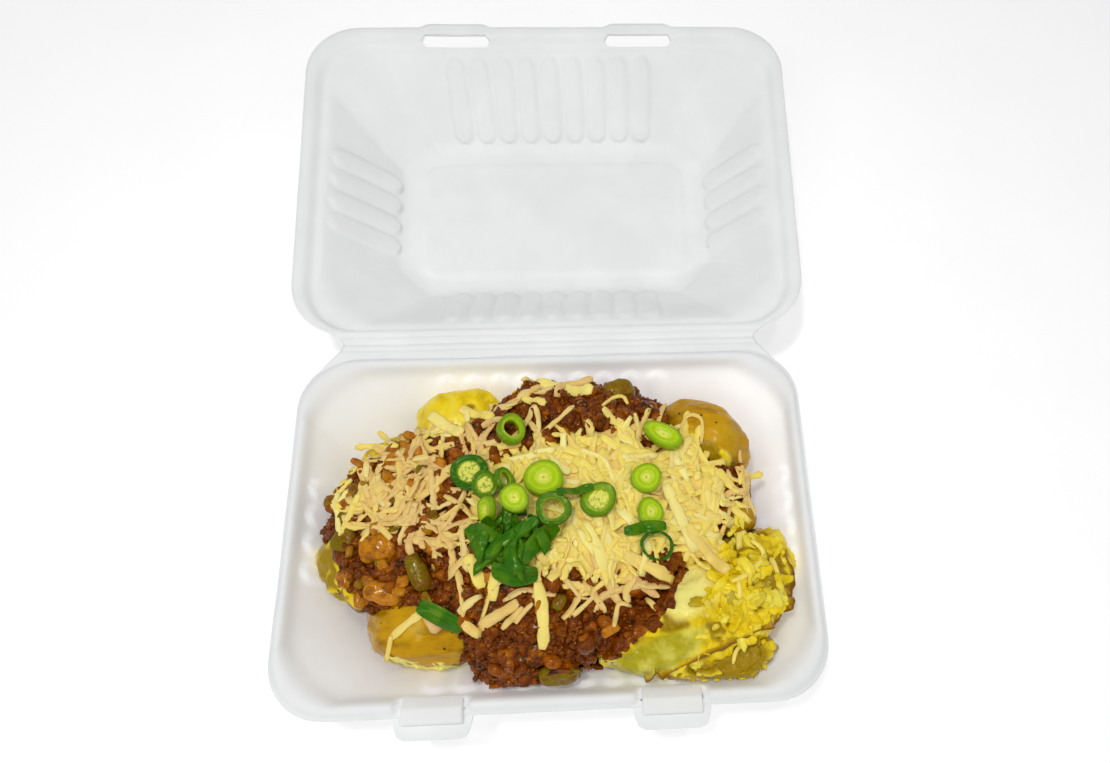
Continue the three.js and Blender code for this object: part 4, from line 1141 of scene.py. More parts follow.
# The broken faces of the potatoes: a direction, and how far along it the flesh begins, from -1 to 1.
# Lumps scale the height of the flesh's lumps, the browning value the skin's darkness and shade the flesh's.
# Painted shade on the skin's steep sides is added to the browning in potato_form.
# Mesh scales the size of the mesh.
UPWARDS = (0, 0, 1)
ALL_FLESH, ALL_SKIN = -2, 2
POTATOES = {
    "potato_front_left": {
        "flesh": (0.2, -0.7, -0.7), "from": 0.7, "lumps": 0.5, "browning_and_shade": 0, "shade": -0.4, "mesh": 1.0},
    "potato_left_edge": {
        "flesh": UPWARDS, "from": ALL_FLESH, "lumps": 0.6, "browning_and_shade": 0, "shade": 0, "mesh": 1.0},
    "potato_left_sliver": {
        "flesh": (0.5, 0.5, 0.7), "from": 0.35, "lumps": 0.3, "browning_and_shade": 0.6, "shade": 0, "mesh": 1.0},
    "potato_back_left": {
        "flesh": UPWARDS, "from": ALL_FLESH, "lumps": 0.3, "browning_and_shade": 0, "shade": -1.2, "mesh": 1.0},
    "potato_back_corner": {
        "flesh": UPWARDS, "from": ALL_FLESH, "lumps": 0.8, "browning_and_shade": 0, "shade": 0, "mesh": 1.0},
    "potato_back_right": {
        "flesh": (-0.6, -0.8, 0.0), "from": 0.16, "lumps": 0.6, "browning_and_shade": 0.16, "shade": 0, "mesh": 1.0},
    "potato_front_right": {
        "flesh": UPWARDS, "from": -0.12, "lumps": 1.2, "browning_and_shade": 0.1, "shade": 0, "mesh": 0.7},
    "potato_front_flap": {
        "flesh": UPWARDS, "from": -0.35, "lumps": 0.8, "browning_and_shade": 0.5, "shade": 1.0, "mesh": 0.7},
    "potato_right_chunk": {
        "flesh": UPWARDS, "from": ALL_SKIN, "lumps": 0.5, "browning_and_shade": 0.45, "shade": 0, "mesh": 1.0},
}
# Edges of torn skin: their lines seen from above, how far they reach out, and where points are torn,
# each as a place and a length.
SKIN_EDGES = [
    {"line": [(12, -62), (19, -68), (26, -68), (33, -69), (40, -69), (46, -66), (53, -63), (60, -60),
              (68, -57), (78, -53), (86, -50), (93, -46), (98, -41), (101, -34), (100, -27), (97, -20)],
     "reach": 1.1, "torn": [(20, -70, 3.2), (41, -70, 4.2), (88, -50, 2.0), (97, -43, 1.6)]},
    {"line": [(56, 20), (64, 19), (72, 17), (80, 16), (86, 20)], "reach": 1.0, "torn": []},
]
# Ruffled edges of flesh: their lines, how far they reach out, and how much butter is on them.
FRILLS = [
    {"line": [(52, -66), (56, -69), (62, -70), (70, -70.5), (77, -70), (83, -67), (87, -62), (85, -57)],
     "reach": 2.6},
    {"line": [(57, -67), (63, -68), (66, -66)], "reach": 2.2},
    {"line": [(-66, -55), (-60, -58), (-50, -60), (-38, -59), (-30, -56)], "reach": 1.0, "pale": 0.8},
]
# Where crumbs of flesh are tried: how many, from x to x, and from y to y.
CRUMB_FIELDS = [(40000, 14, 104, -76, 2), (4000, -86, -56, 18, 46)]
# The patches where they lie thickest: places and half widths.
CRUMB_PATCHES = [(80, -24, 15), (86, -36, 12), (70, -42, 12), (88, -14, 7), (-72, 32, 9)]
CRUMB_FLOOR = 37  # crumbs lie only above this height
CRUMB_STEEPEST = 5  # and only where the heap rises less than this over 2 mm
STRAND_AXES = np.array([[0.5, 0.8, 0], [-0.3, 1.0, 0], [0, 0, 1.2]])  # strands of flesh are drawn out
SKIN_AXES = [0.5, 1.4, 1]  # and wrinkles of skin


def potato_form(spec, form, settings):
    """A broken potato: the softened CAD node with lumps on its flesh and wrinkles on its skin."""
    middle = (form.corners.min(0) + form.corners.max(0)) / 2
    half = (form.corners.max(0) - form.corners.min(0)) / 2
    outward = unit((form.corners - middle) / half, 1e-6)
    side = outward @ (np.array(spec["flesh"]) / np.linalg.norm(spec["flesh"]))
    flesh = ramp(side + 0.12 * swells(form.corners, 9, 2), spec["from"] - 0.04, spec["from"] + 0.04)
    smooth = np.maximum(butter_share(form.corners), 0.8 * lobe_share(*form.corners[:, :2].T))
    lumps = settings.lumps / MM * spec["lumps"]
    rough = swells(form.corners, 9, 4, 3)
    crags = np.abs(swells(form.corners, 5, 9, 2))
    strands = np.abs(noise(form.corners @ STRAND_AXES, 3.0, 12))
    relief = flesh * lumps * (1 - 0.8 * smooth) * (0.9 * rough + 0.7 - 1.0 * crags - 0.35 * strands)
    relief += (1 - flesh) * (0.5 * swells(form.corners * SKIN_AXES, 6, 6, 2))
    form.push(relief)
    form.corners = kept_in(form.corners)
    browning_and_shade = np.clip(spec["browning_and_shade"] + 0.25 * swells(form.corners, 12, 3), 0, 1) * (spec["browning_and_shade"] > 0)
    form.values = {
        "flesh": flesh,
        # hollow: painted shade where the flesh lies low and in its crags, plus each piece's own shade of flesh.
        "hollow": np.clip(0.35 - rough + 1.1 * crags + spec["shade"], 0, 1) * (1 - smooth),
        "cream": butter_share(form.corners) * flesh,
        "moist": 0.85 * lobe_share(*form.corners[:, :2].T),
        # Browning, plus painted shade: the skin darkens on its steep and downward sides.
        "browning_and_shade": browning_and_shade + 0.4 * (1 - np.clip(form.normals()[:, 2], 0, 1)) ** 2,
    }
    return form


class FOOD_OT_potatoes(bpy.types.Operator):
    """Makes the broken potatoes with their torn skins and crumbs of flesh"""
    bl_idname = "potato_box.potatoes"
    bl_label = "Potatoes"

    def execute(self, context):
        settings = context.scene.potatoes
        finish = potato_finish(settings)
        random = np.random.default_rng(11)
        for node, spec in POTATOES.items():
            form = potato_form(spec, softened(node, settings.voxel / MM * spec["mesh"]), settings)
            form.build(node + "_soft", "tray", frame_slot(node), finish, [node])
            HEAP.cover(form, "potato")
        parts = [skin_edge(**edge) for edge in SKIN_EDGES] + [frill(**edge) for edge in FRILLS]
        joined(parts).build("torn_skin", "tray", "potato_skin", finish)
        flesh_crumbs(settings, random).build("flesh_crumbs", "tray", "potato_flesh", finish)
        return {"FINISHED"}


EDGE_FLOOR, EDGE_DROP = RIM_Z - 12, 3  # an edge's least height, and how far its outside may drop


def edge_grid(line, offsets, rises, reach, droop=0.0):
    """A grid of points across a line on the heap, from its inside (left) to its outside (right)."""
    forward = np.gradient(line, axis=0)
    out = unit(np.stack([forward[:, 1], -forward[:, 0]], 1))
    across = line[:, None] + out[:, None] * (offsets[None] * reach[:, None])[..., None]
    ground = HEAP.at(across[..., 0], across[..., 1])
    base = np.maximum(ground[:, :1], EDGE_FLOOR)
    z = np.maximum(ground, base - EDGE_DROP - droop) + rises
    grid = np.concatenate([across, z[..., None]], 2)
    return kept_in(grid.reshape(-1, 3)).reshape(grid.shape)


# Across an edge of torn skin, from inside to outside: places, heights, and shares of flesh and of browned skin.
SKIN_OFFSETS = np.array([-1.2, -0.4, 0.3, 0.75, 1.0])
SKIN_RISES = np.array([-1.0, 0.0, 0.5, 0.7, 0.6])
SKIN_FLESH = np.array([1, 0.4, 0, 0, 0])
SKIN_BROWN = np.array([0.2, 0.3, 0.5, 0.8, 0.9])
SKIN_THICK = 0.5
TEAR_HALF = 3.4  # half the width of a torn point


def skin_edge(line, reach, torn):
    """A strip of skin that stands out along a broken edge, dark at its rim."""
    line = even_line(line, 0.8)
    along = on_floor(line[:, 0], line[:, 1])
    far = reach * (1.1 + 0.9 * swells(along, 5, 3, 3))
    line = line + 0.9 * np.stack([noise(along, 7, 2), noise(along, 7, 6)], 1)
    for x, y, length_of_tear in torn:
        away = np.hypot(line[:, 0] - x, line[:, 1] - y)
        far += length_of_tear * np.clip(1 - away / TEAR_HALF, 0, 1) ** 1.3
    lift = 0.8 + 0.7 * swells(along, 6, 5, 2)
    grid = edge_grid(line, SKIN_OFFSETS, SKIN_RISES * lift[:, None] + 0.3, far)
    browning_and_shade = SKIN_BROWN * (1 + 0.4 * noise(along, 6, 4)[:, None])
    return sheet(grid, SKIN_THICK, {"flesh": SKIN_FLESH, "hollow": 0.0, "cream": 0.0, "browning_and_shade": browning_and_shade})


# Across a ruffled edge, from inside to outside: places, heights, heights of the waves and shade.
FRILL_OFFSETS = np.array([-1.1, -0.5, 0, 0.5, 1.0])
FRILL_RISES = np.array([0.0, 0.5, 0.8, 0.9, 0.9])
FRILL_WAVES = np.array([0, 0.2, 0.5, 0.9, 1.2])
FRILL_SHADE = np.array([1.0, 0.9, 0.65, 0.4, 0.1])
FRILL_STEP, FRILL_WAVE = 0.6, 0.75
FRILL_THICK = 0.8


def frill(line, reach, pale=0.0):
    """A ruffled edge of moist flesh."""
    line = even_line(line, FRILL_STEP)
    along = on_floor(line[:, 0], line[:, 1])
    far = reach * (0.9 + 0.6 * swells(along, 3.2, 8, 2))
    wave = np.sin(np.arange(len(line)) * FRILL_STEP / FRILL_WAVE + 2 * noise(along, 5, 2))
    grid = edge_grid(line, FRILL_OFFSETS, FRILL_RISES + wave[:, None] * FRILL_WAVES + 0.3, far, 3)
    return sheet(grid, FRILL_THICK, {"flesh": 1.0, "hollow": FRILL_SHADE, "cream": pale, "browning_and_shade": 0.0})


def flesh_crumbs(settings, random):
    """Crumbs of flesh on the broken faces, thick in some patches."""
    fields = [(random.uniform(left, right, number), random.uniform(front, back, number))
              for number, left, right, front, back in CRUMB_FIELDS]
    x, y = np.concatenate(fields, 1)
    near = np.max([np.exp(-(((x - px) / r) ** 2 + ((y - py) / r) ** 2)) for px, py, r in CRUMB_PATCHES], 0)
    smooth = np.maximum(lobe_share(x, y), butter_share(on_floor(x, y)))
    chance = (0.04 + 0.96 * near) * (1 - 0.97 * smooth)
    i, j = HEAP.cells(x, y)
    steep = sum(np.abs(rise) for rise in HEAP.rises(x, y))
    fits = (HEAP.owner[i, j] == "potato") & (HEAP.z[i, j] > CRUMB_FLOOR) & (steep < CRUMB_STEEPEST)
    kept = np.flatnonzero(fits & (random.uniform(0, 1, len(x)) < chance))[:settings.crumbs]
    x, y = x[kept], y[kept]
    number = len(x)
    size = np.exp(random.normal(0.1, 0.35, (number, 1)))
    size = size * random.uniform([1.5, 0.9, 0.4], [3.0, 1.8, 0.7], (number, 3))
    size = np.minimum(size, [5.0, 3.2, 1.2])
    places = np.stack([x, y, HEAP.at(x, y) - 0.1], 1)
    form = scattered_lumps(places, size, random, 0.5, upright=0.86, detail=3, blunt=0.9)
    form.corners = kept_in(form.corners)
    nil = np.zeros(len(form.corners))
    form.values = {
        "flesh": nil + 1,
        "hollow": for_each_lump(random.uniform(-0.3, 0.7, number), 3).clip(0, 1),
        "cream": for_each_lump((random.uniform(0, 1, number) > 0.97) * 0.6, 3),
        "browning_and_shade": nil,
    }
    return form


def frame_slot(node):
    """The material slot that the record gives a node."""
    return next(part["material_slot"] for part in frame["record"]["subparts"] if part["node"] == node)


# Pieces of pepper and onion, and how warm their colour is: 0 olive, 0.5 orange, 1 pinkish.
PEPPERS = {
    "pepper_back": 0.12, "pepper_left_end": 0.05, "pepper_left": 0.5, "pepper_green": 0.0,
    "pepper_left_low": 0.6, "pepper_front": 0.05,
}
# Where the chilli has slid over the edge of the front right potato: its edge line, from front to back,
# how wide the layer is, and how thick.
SPILL_LINE = np.array([(17, -72), (21, -67), (25, -62), (31, -57), (37, -53), (43, -48), (47, -43),
                       (50, -38), (55, -28), (61, -21), (68, -13)], float)
SPILL_FRONT, SPILL_BACK = -69, -12
SPILL_WIDE, SPILL_THICK = 22, 2.4
CHILLI_FLOOR = 30  # the layer and the lumps stay above this height
BURIED = 9  # the sauce rises through loose cheese that is at most this thick
UNDER_CHEESE = 1.6  # and ends this far below its top
LUMP_FIELD = (60000, -104, 90, -76, 68)  # tries for lumps on the chilli, from x to x and y to y
BEAN_SIZE = np.array([3.9, 2.8, 2.5])
DICE_SIZES = [2.2, 1.5, 0.7], [4.6, 3.2, 1.5]
DICE_LEFT_OF, DICE_ELSEWHERE = -44, 0.06  # left of this x dice are thick, and scarce elsewhere


class FOOD_OT_chilli(bpy.types.Operator):
    """Makes the chilli: sauce, crumbs of mince, beans and pieces of pepper and onion"""
    bl_idname = "potato_box.chilli"
    bl_label = "Chilli"

    def execute(self, context):
        settings = context.scene.chilli
        finish = pepper_finish(settings)
        for node, warm in PEPPERS.items():
            form = softened(node, 0.8, 5)
            form.push(0.5 * swells(form.corners, 4, 1, 2))
            form.values = {"warm": np.full(len(form.corners), warm)}
            form.build(node + "_soft", "tray", "pepper", finish, [node])
            HEAP.cover(form, "pepper")
        core = self.sauce(settings)
        HEAP.cover(core, "chilli")
        self.spill(settings)
        self.lumps(settings, finish)
        return {"FINISHED"}

    def sauce(self, settings):
        """The sauce, raised between loose shreds of cheese to just below them."""
        for node in ("chilli", "grated_cheese"):
            COVER.cover(form_of(frame["nodes"][node].data), node)
        core = softened("chilli", 0.95, 4)
        top = COVER.at(core.corners[:, 0], core.corners[:, 1])
        below = top - core.corners[:, 2]
        loose = 1 - cheese_share(core.corners[:, 0], core.corners[:, 1])
        raised = np.where((below > 0) & (below < BURIED), np.maximum(below - UNDER_CHEESE, 0), 0)
        core.corners[:, 2] += raised * loose
        core.smooth(2)
        core.push(1.5 * swells(core.corners, 9, 2, 2))
        lumps = np.abs(swells(core.corners, 4.2, 7, 2))
        grains = np.abs(noise(core.corners, 2.0, 9))
        core.push(2.4 * lumps + 0.8 * grains - 1.0)
        # deep: painted shade in the gaps between the lumps.
        core.values = {"deep": np.clip(0.9 - 3.2 * lumps - 0.8 * grains, 0, 1)}
        core.corners = kept_in(core.corners)
        core.build("chilli_sauce", "tray", "chilli", sauce_finish(settings), ["chilli"])
        return core

    def spill(self, settings):
        """A layer of sauce over the edge of the front right potato."""
        y = np.linspace(SPILL_FRONT, SPILL_BACK, 60)[:, None]
        edge = np.interp(y, SPILL_LINE[:, 1], SPILL_LINE[:, 0]) + 1.2 * noise(np.tile(y, 3), 5)[:, None]
        across = np.linspace(0, 1, 24)[None]
        x = edge - 0.5 - across * SPILL_WIDE
        y = np.broadcast_to(y, x.shape)
        thick = 2.2 * np.sin(np.clip(across * 4, 0, 1) * QUARTER)
        z = HEAP.at(x, y) + thick - 0.4
        z = np.where(HEAP.z[HEAP.cells(x, y)] < CHILLI_FLOOR, CHILLI_FLOOR, z)
        form = sheet(np.stack([x, y, z], -1)[:, ::-1], SPILL_THICK)
        form.corners = kept_in(form.corners)
        form.build("chilli_edge", "tray", "chilli", sauce_finish(settings))
        HEAP.cover(form, "chilli")

    def lumps(self, settings, finish):
        """Crumbs of mince, then beans, then dice, at chance places on the chilli."""
        random = np.random.default_rng(21)
        places = self.places(random)
        self.mince(places[:settings.crumbs], random, settings)
        places = places[settings.crumbs:]
        self.beans(places[:settings.beans], random, settings)
        places = places[settings.beans:]
        chance = np.where(places[:, 0] < DICE_LEFT_OF, 1.0, DICE_ELSEWHERE)
        kept = random.uniform(0, 1, len(places)) < chance
        self.dice(places[kept][:settings.dice], random, finish)

    def places(self, random):
        """Chance places where the chilli lies open, more of them where it is steep."""
        number, left, right, front, back = LUMP_FIELD
        x, y = random.uniform(left, right, number), random.uniform(front, back, number)
        i, j = HEAP.cells(x, y)
        buried = (COVER.owner[i, j] == "grated_cheese") * cheese_share(x, y)
        chance = np.minimum(0.5 + 0.5 * np.hypot(*HEAP.rises(x, y)) / 2, 1)
        fits = (HEAP.owner[i, j] == "chilli") & (HEAP.z[i, j] > CHILLI_FLOOR) & (buried < 0.5)
        kept = fits & (random.uniform(0, 1, number) < chance)
        return np.stack([x[kept], y[kept]], 1)

    def mince(self, places, random, settings):
        number = len(places)
        size = np.clip(np.exp(random.normal(0.25, 0.4, (number, 1))), 0.6, 3.0)
        size = size * random.uniform(0.6, 1.3, (number, 3))
        form = scattered_lumps(self.on_heap(places, -0.6), size, random, 0.75)
        self.laid(form).build("mince", "tray", "chilli", mince_finish(settings))

    def beans(self, places, random, settings):
        size = BEAN_SIZE * random.uniform(0.8, 1.15, (len(places), 1))
        form = scattered_lumps(
            self.on_heap(places, 0.5), size, random, 0.06, upright=0.8, detail=3, grain=1.6)
        self.laid(form).build("beans", "tray", "chilli", bean_finish(settings))

    def dice(self, places, random, finish):
        size = random.uniform(*DICE_SIZES, (len(places), 3))
        form = scattered_lumps(
            self.on_heap(places, 0.6), size, random, 0.25, upright=0.8, grain=1.2, blunt=0.62)
        form.values = {"warm": for_each_lump(random.beta(0.6, 1.1, len(places)))}
        self.laid(form).build("diced_vegetables", "tray", "pepper", finish)

    def on_heap(self, places, lift):
        """The places at a height above the heap."""
        return np.column_stack([places, HEAP.at(*places.T) + lift])

    def laid(self, form):
        """The form kept in the box, once the heap's map has been raised to it."""
        form.corners = kept_in(form.corners)
        HEAP.lay(form.corners)
        return form


SHRED_STEPS = 11
# The section of a shred: across its width and through its thickness, from -1 to 1.
SHRED_SECTION = np.array([(1, 0), (0.8, 1), (-0.8, 1), (-1, 0), (-0.8, -1), (0.8, -1)])
SHRED_CAPS = [[0, 5, 4, 3], [0, 3, 2, 1]]
# Shreds that stand out, as width, thickness, warmth (0 cream, 1 tan) and line, seen from above.
MAIN_SHREDS = [
    (4.6, 1.1, 0.6, [(-52, 6), (-44, 14), (-36, 19)]), (3.0, 1.0, 0.4, [(-28, 23), (-20, 26), (-11, 27)]),
    (5.6, 1.0, 0.1, [(-52, 46), (-44, 39), (-36, 34)]), (4.8, 1.0, 0.1, [(-39, 48), (-30, 44), (-23, 40)]),
    (2.8, 1.0, 0.2, [(-78, 44), (-70, 36)]), (5.6, 1.0, 0.0, [(-6, 61), (5, 56), (19, 52)]),
    (4.0, 1.0, 0.1, [(-12, 52), (-7, 48), (-1, 45)]),
    (1.7, 1.0, 0.3, [(23, 44), (27, 49), (32, 51), (34, 46)]),
    (1.8, 1.3, 0.5, [(55, 25), (57, 36), (60, 42), (66, 40), (66, 34), (65, 28)]),
    (2.8, 1.0, 0.5, [(28, 35), (35, 30), (40, 24), (42, 15)]), (4.0, 1.1, 0.1, [(67, 15), (65, 5), (62, -5)]),
    (4.8, 1.1, 0.1, [(48, 8), (53, -5), (59, -20)]), (4.4, 1.1, 0.2, [(56, -9), (62, -16), (70, -23)]),
    (2.0, 1.0, 0.3, [(72, 1), (75, 0), (79, 2)]), (3.8, 1.0, 0.3, [(-49, -39), (-57, -44), (-64, -49)]),
    (2.3, 1.0, 0.3, [(-63, -48), (-65, -53), (-67, -57)]), (4.6, 0.9, 1.0, [(-49, -41), (-44, -47)]),
    (4.0, 1.0, 0.5, [(-33, -45), (-27, -50)]), (5.0, 1.1, 0.7, [(-12, -38), (-19, -42), (-27, -47)]),
    (2.4, 1.0, 0.7, [(-10, -40), (-14, -44), (-18, -48)]),
    (2.0, 1.0, 0.7, [(-6, -39), (-10, -42), (-13, -46)]),
    (2.0, 1.0, 0.6, [(-8, -34), (-13, -35), (-18, -37)]),
    (4.8, 1.2, 0.1, [(-4, -31), (-3, -37), (-2, -44), (-2, -50), (-3, -56)]),
    (5.4, 1.2, 0.0, [(-32, -19), (-28, -25), (-26, -32)]),
    (4.0, 1.1, 0.0, [(-20, -22), (-21, -29), (-22, -37)]),
    (3.2, 1.0, 0.5, [(-26, -35), (-30, -37), (-35, -41)]),
    (5.4, 1.1, 0.4, [(30, -21), (39, -26), (49, -31)]), (2.0, 1.0, 0.6, [(18, -36), (14, -40), (8, -45)]),
    (2.0, 1.0, 0.6, [(25, -49), (26, -44), (27, -39), (32, -41)]),
    (2.4, 1.0, 0.6, [(38, -38), (42, -43)]), (4.8, 1.0, 0.4, [(55, -10), (63, -19), (71, -29)]),
    (2.3, 1.0, 0.0, [(83, -15), (87, -18), (88, -22), (83, -27), (78, -31), (72, -33)]),
    (2.3, 1.0, 0.0, [(75, -33), (75, -40)]), (2.3, 1.0, 0.0, [(91, -22), (94, -32)]),
    (1.6, 1.0, 0.0, [(72, -64), (73, -60), (75, -57), (82, -56)]),
    (5.0, 1.1, 0.0, [(10, 20), (20, 12), (26, 2)]), (4.6, 1.1, 0.0, [(28, -2), (36, -10), (40, -20)]),
    (5.0, 1.2, 0.0, [(14, -8), (20, -18), (22, -28)]), (4.4, 1.1, 0.0, [(22, 30), (34, 22), (44, 22)]),
]
# The melted cheese is drawn out into ridges, large ones along the first of these directions.
MELTED_AXES = np.array([[0.19, 1.26, 0], [-0.29, 0.81, 0], [0, 0, 1.0]])
CROSS_AXES = [1.8, 0.7, 1.0]
CHEESE_FIELD = (-96, 90, -48, 66)  # where shreds are tried, from x to x and y to y
TRIES_FOR_EACH = 14
BATCHES = 5  # each batch lies on top of the last
SHORT, NARROW = 9, 1.6  # the smallest shred
# How often a try gives a shred: far from the left end, near it, and on the thick cheese.
CHANCE_FAR, CHANCE_NEAR, CHANCE_THICK = 0.22, 0.46, 0.62
SAG = 8  # a shred spans hollows, and hangs at most this far below its highest point
BLANKET_SINK = 7.0  # how far the melted cheese sinks where shreds lie loose on the chilli


def swept_shreds(line, wide, thick, taper, roll):
    """Flat shreds along lines (number, steps, 3), with their widths, tapers and twists."""
    forward = unit(np.gradient(line, axis=1))
    side = unit(np.cross(forward, [0, 0, 1.0]))
    up = np.cross(side, forward)
    roll = roll[..., None]
    side, up = side * np.cos(roll) + up * np.sin(roll), up * np.cos(roll) - side * np.sin(roll)
    half_w = (wide[:, None] * taper / 2)[..., None, None]
    half_t = (thick[:, None] * np.sqrt(taper) / 2)[..., None, None]
    points = (line[:, :, None] + side[:, :, None] * SHRED_SECTION[:, 0, None] * half_w
              + up[:, :, None] * SHRED_SECTION[:, 1, None] * half_t)
    number, steps, sides = points.shape[:3]
    ring = np.arange(sides)
    after = (ring + 1) % sides
    step = np.arange(steps - 1)[:, None] * sides
    tube = np.stack([step + ring, step + after, step + sides + after, step + sides + ring], -1)
    last = (steps - 1) * sides
    ends = SHRED_CAPS + [[last + k for k in cap[::-1]] for cap in SHRED_CAPS]
    faces = np.concatenate([tube.reshape(-1, 4), ends])
    starts = np.arange(number)[:, None, None] * steps * sides
    return Form(points.reshape(-1, 3), (faces[None] + starts).reshape(-1, 4))


def draped(x, y, thick, sink=0.3):
    """Heights of stiff shreds that lie on the heap."""
    ground = HEAP.at(x, y)
    ground = np.maximum(ground, ground.max(1, keepdims=True) - SAG)
    z = ground.copy()
    for _ in range(3):
        padded = np.concatenate([2 * z[:, :1] - z[:, 1:2], z, 2 * z[:, -1:] - z[:, -2:-1]], 1)
        z = (padded[:, :-2] + 2 * padded[:, 1:-1] + padded[:, 2:]) / 4
    return np.maximum(z, ground - sink) + thick[:, None] * 0.4


def laid_shreds(middles, sizes, yaw, random):
    """Shreds laid on the heap: (length, width, thickness) each, bent, ragged and draped."""
    number = len(middles)
    long, wide, thick = sizes.T
    t = np.linspace(-1, 1, SHRED_STEPS)[None]
    yaw = yaw[:, None]
    bend = random.normal(0, 0.11, (number, 1)) * long[:, None]
    along = t * long[:, None] / 2
    across = bend * (t**2 - 0.4) + 0.25 * bend * np.sin(t * 4 + yaw)
    x = middles[:, :1] + along * np.cos(yaw) - across * np.sin(yaw)
    y = middles[:, 1:2] + along * np.sin(yaw) + across * np.cos(yaw)
    z = draped(x, y, thick)
    z += t * random.normal(0, 0.5, (number, 1)) + np.abs(t) ** 3 * random.normal(0.1, 0.6, (number, 1))
    line = np.stack([x, y, z], -1)
    roll = random.normal(0, 0.28, (number, 1)) + random.normal(0, 0.3, (number, 1)) * t
    ragged = 1 + 0.15 * random.normal(0, 1, (number, SHRED_STEPS))
    end = np.abs(t) ** random.uniform(8, 20, (number, 1)) * random.uniform(0.1, 0.6, (number, 1))
    form = swept_shreds(line, wide, thick, np.clip(ragged - end, 0.16, 1.4), roll)
    HEAP.lay(line.reshape(-1, 3), thick.mean() * 0.3)
    return form


class FOOD_OT_cheese(bpy.types.Operator):
    """Makes the grated cheese: a thick half-melted blanket and many shreds"""
    bl_idname = "potato_box.cheese"
    bl_label = "Grated cheese"

    def execute(self, context):
        settings = context.scene.cheese
        core = softened("grated_cheese", 1.2, 2)
        x, y = core.corners[:, 0], core.corners[:, 1]
        thick = cheese_share(x, y)
        core.corners[:, 2] -= (1 - thick) * BLANKET_SINK
        strands = noise(core.corners @ MELTED_AXES, 5.0, 4)
        strands = strands + 0.6 * noise(core.corners * CROSS_AXES, 5.0, 8)
        core.push(thick * (1.1 * strands - 0.3 + 0.4 * noise(core.corners, 2.4, 5)))
        core.corners = kept_in(core.corners)
        core.values = {"warm": np.clip(0.35 - 0.5 * strands, 0, 1)}
        finish = cheese_finish("cheese_blanket", settings)
        core.build("cheese_blanket", "tray", "cheese", finish, ["grated_cheese"])
        HEAP.cover(core, "cheese")
        self.shreds(settings)
        return {"FINISHED"}

    def shreds(self, settings):
        """Shreds by chance, one batch on the other, and then those that stand out."""
        random = np.random.default_rng(5)
        number = settings.shreds // BATCHES
        parts = [self.batch(number, settings, random) for _ in range(BATCHES)]
        parts += [self.main_shred(random, *spec) for spec in MAIN_SHREDS]
        form = joined(parts)
        form.corners = kept_in(form.corners)
        form.build("cheese_shreds", "tray", "cheese", cheese_finish("cheese_shreds", settings))

    def batch(self, number, settings, random):
        """Shreds at chance places on the cheese, longer and wider where it is thick."""
        left, right, front, back = CHEESE_FIELD
        x = random.uniform(left, right, TRIES_FOR_EACH * number)
        y = random.uniform(front, back, TRIES_FOR_EACH * number)
        dense = cheese_share(x, y)
        chance = mix(mix(CHANCE_FAR, CHANCE_NEAR, ramp(-x, 20, 60)), CHANCE_THICK, dense)
        chance = np.where(COVER.owner[COVER.cells(x, y)] == "grated_cheese", chance, 0)
        kept = np.flatnonzero(random.uniform(0, 1, len(x)) < chance)[:number]
        middles, dense = np.stack([x, y], 1)[kept], dense[kept]
        number = len(middles)
        longer = random.beta(1.5, 2.0, number) * mix(0.85, 1.0, dense)
        wider = random.beta(1.5, 1.8, number) * mix(0.6, 1.0, dense)
        thick = random.uniform(0.6, 1.1, number)
        long = mix(SHORT, settings.shred_length / MM, longer)
        wide = mix(NARROW, settings.shred_width / MM, wider)
        yaw = np.where(dense > 0.5, -1.0, 0.7) + random.normal(0, 0.9, number)
        form = laid_shreds(middles, np.stack([long, wide, thick], 1), yaw, random)
        on_chilli = HEAP.owner[HEAP.cells(*middles.T)] == "chilli"
        warm = (1 - dense) * 0.65 * on_chilli + random.normal(0.05, 0.16, number)
        warm = warm - 0.5 * ramp(-middles[:, 0], 66, 84)
        form.values = {"warm": np.repeat(np.clip(warm, 0, 1), SHRED_STEPS * len(SHRED_SECTION))}
        return form

    def main_shred(self, random, wide, thick, warm, line):
        """One shred that stands out, along its own line."""
        line = even_line(line, 1.6)
        x, y = line.T[:, None]
        thick = np.array([thick])
        z = draped(x, y, thick, 0.1) + 0.2
        t = np.linspace(-1, 1, len(line))[None]
        along = np.stack([x, y, z], -1)
        taper = 1 + 0.22 * swells(along[0], 3.5, 6, 2)[None] - 0.35 * np.abs(t) ** 6
        roll = 0.12 * np.sin(3 * t + random.uniform(0, 6))
        form = swept_shreds(along, np.array([wide]), thick, taper, roll)
        form.values = {"warm": np.full(len(form.corners), warm)}
        HEAP.lay(along[0], thick[0] * 0.4)
        return form


# ---------------------------------------------------------------- spring onion

SLICE_SIDES = 44
MEMBRANE_SIDES = 24
LEAF_PILE, PILE_HALF = (-12, -15), 12  # the middle of the pile of leaves, and its half width
# Slices: how dark the green is, how wide the hole is as a share, and whether a pale membrane fills it.
CLOSED, OPEN, THIN = 0.06, 0.6, 0.82
SLICES = {
    "onion_back": (0.5, OPEN, False), "onion_left_large": (1.0, OPEN, True),
    "onion_left_small": (0.85, OPEN, True), "onion_left_third": (0.8, OPEN, False),
    "onion_pale_disc": (0.1, CLOSED, False), "onion_mid": (0.25, CLOSED, False),
    "onion_mid_left": (0.3, CLOSED, False), "onion_open_ring": (0.9, OPEN, False),
    "onion_right_inner": (0.7, OPEN, True), "onion_right_disc": (0.1, CLOSED, False),
    "onion_right_small": (0.2, CLOSED, False), "onion_oblong": (0.15, CLOSED, False),
    "onion_thin_ring": (1.0, THIN, False),
}


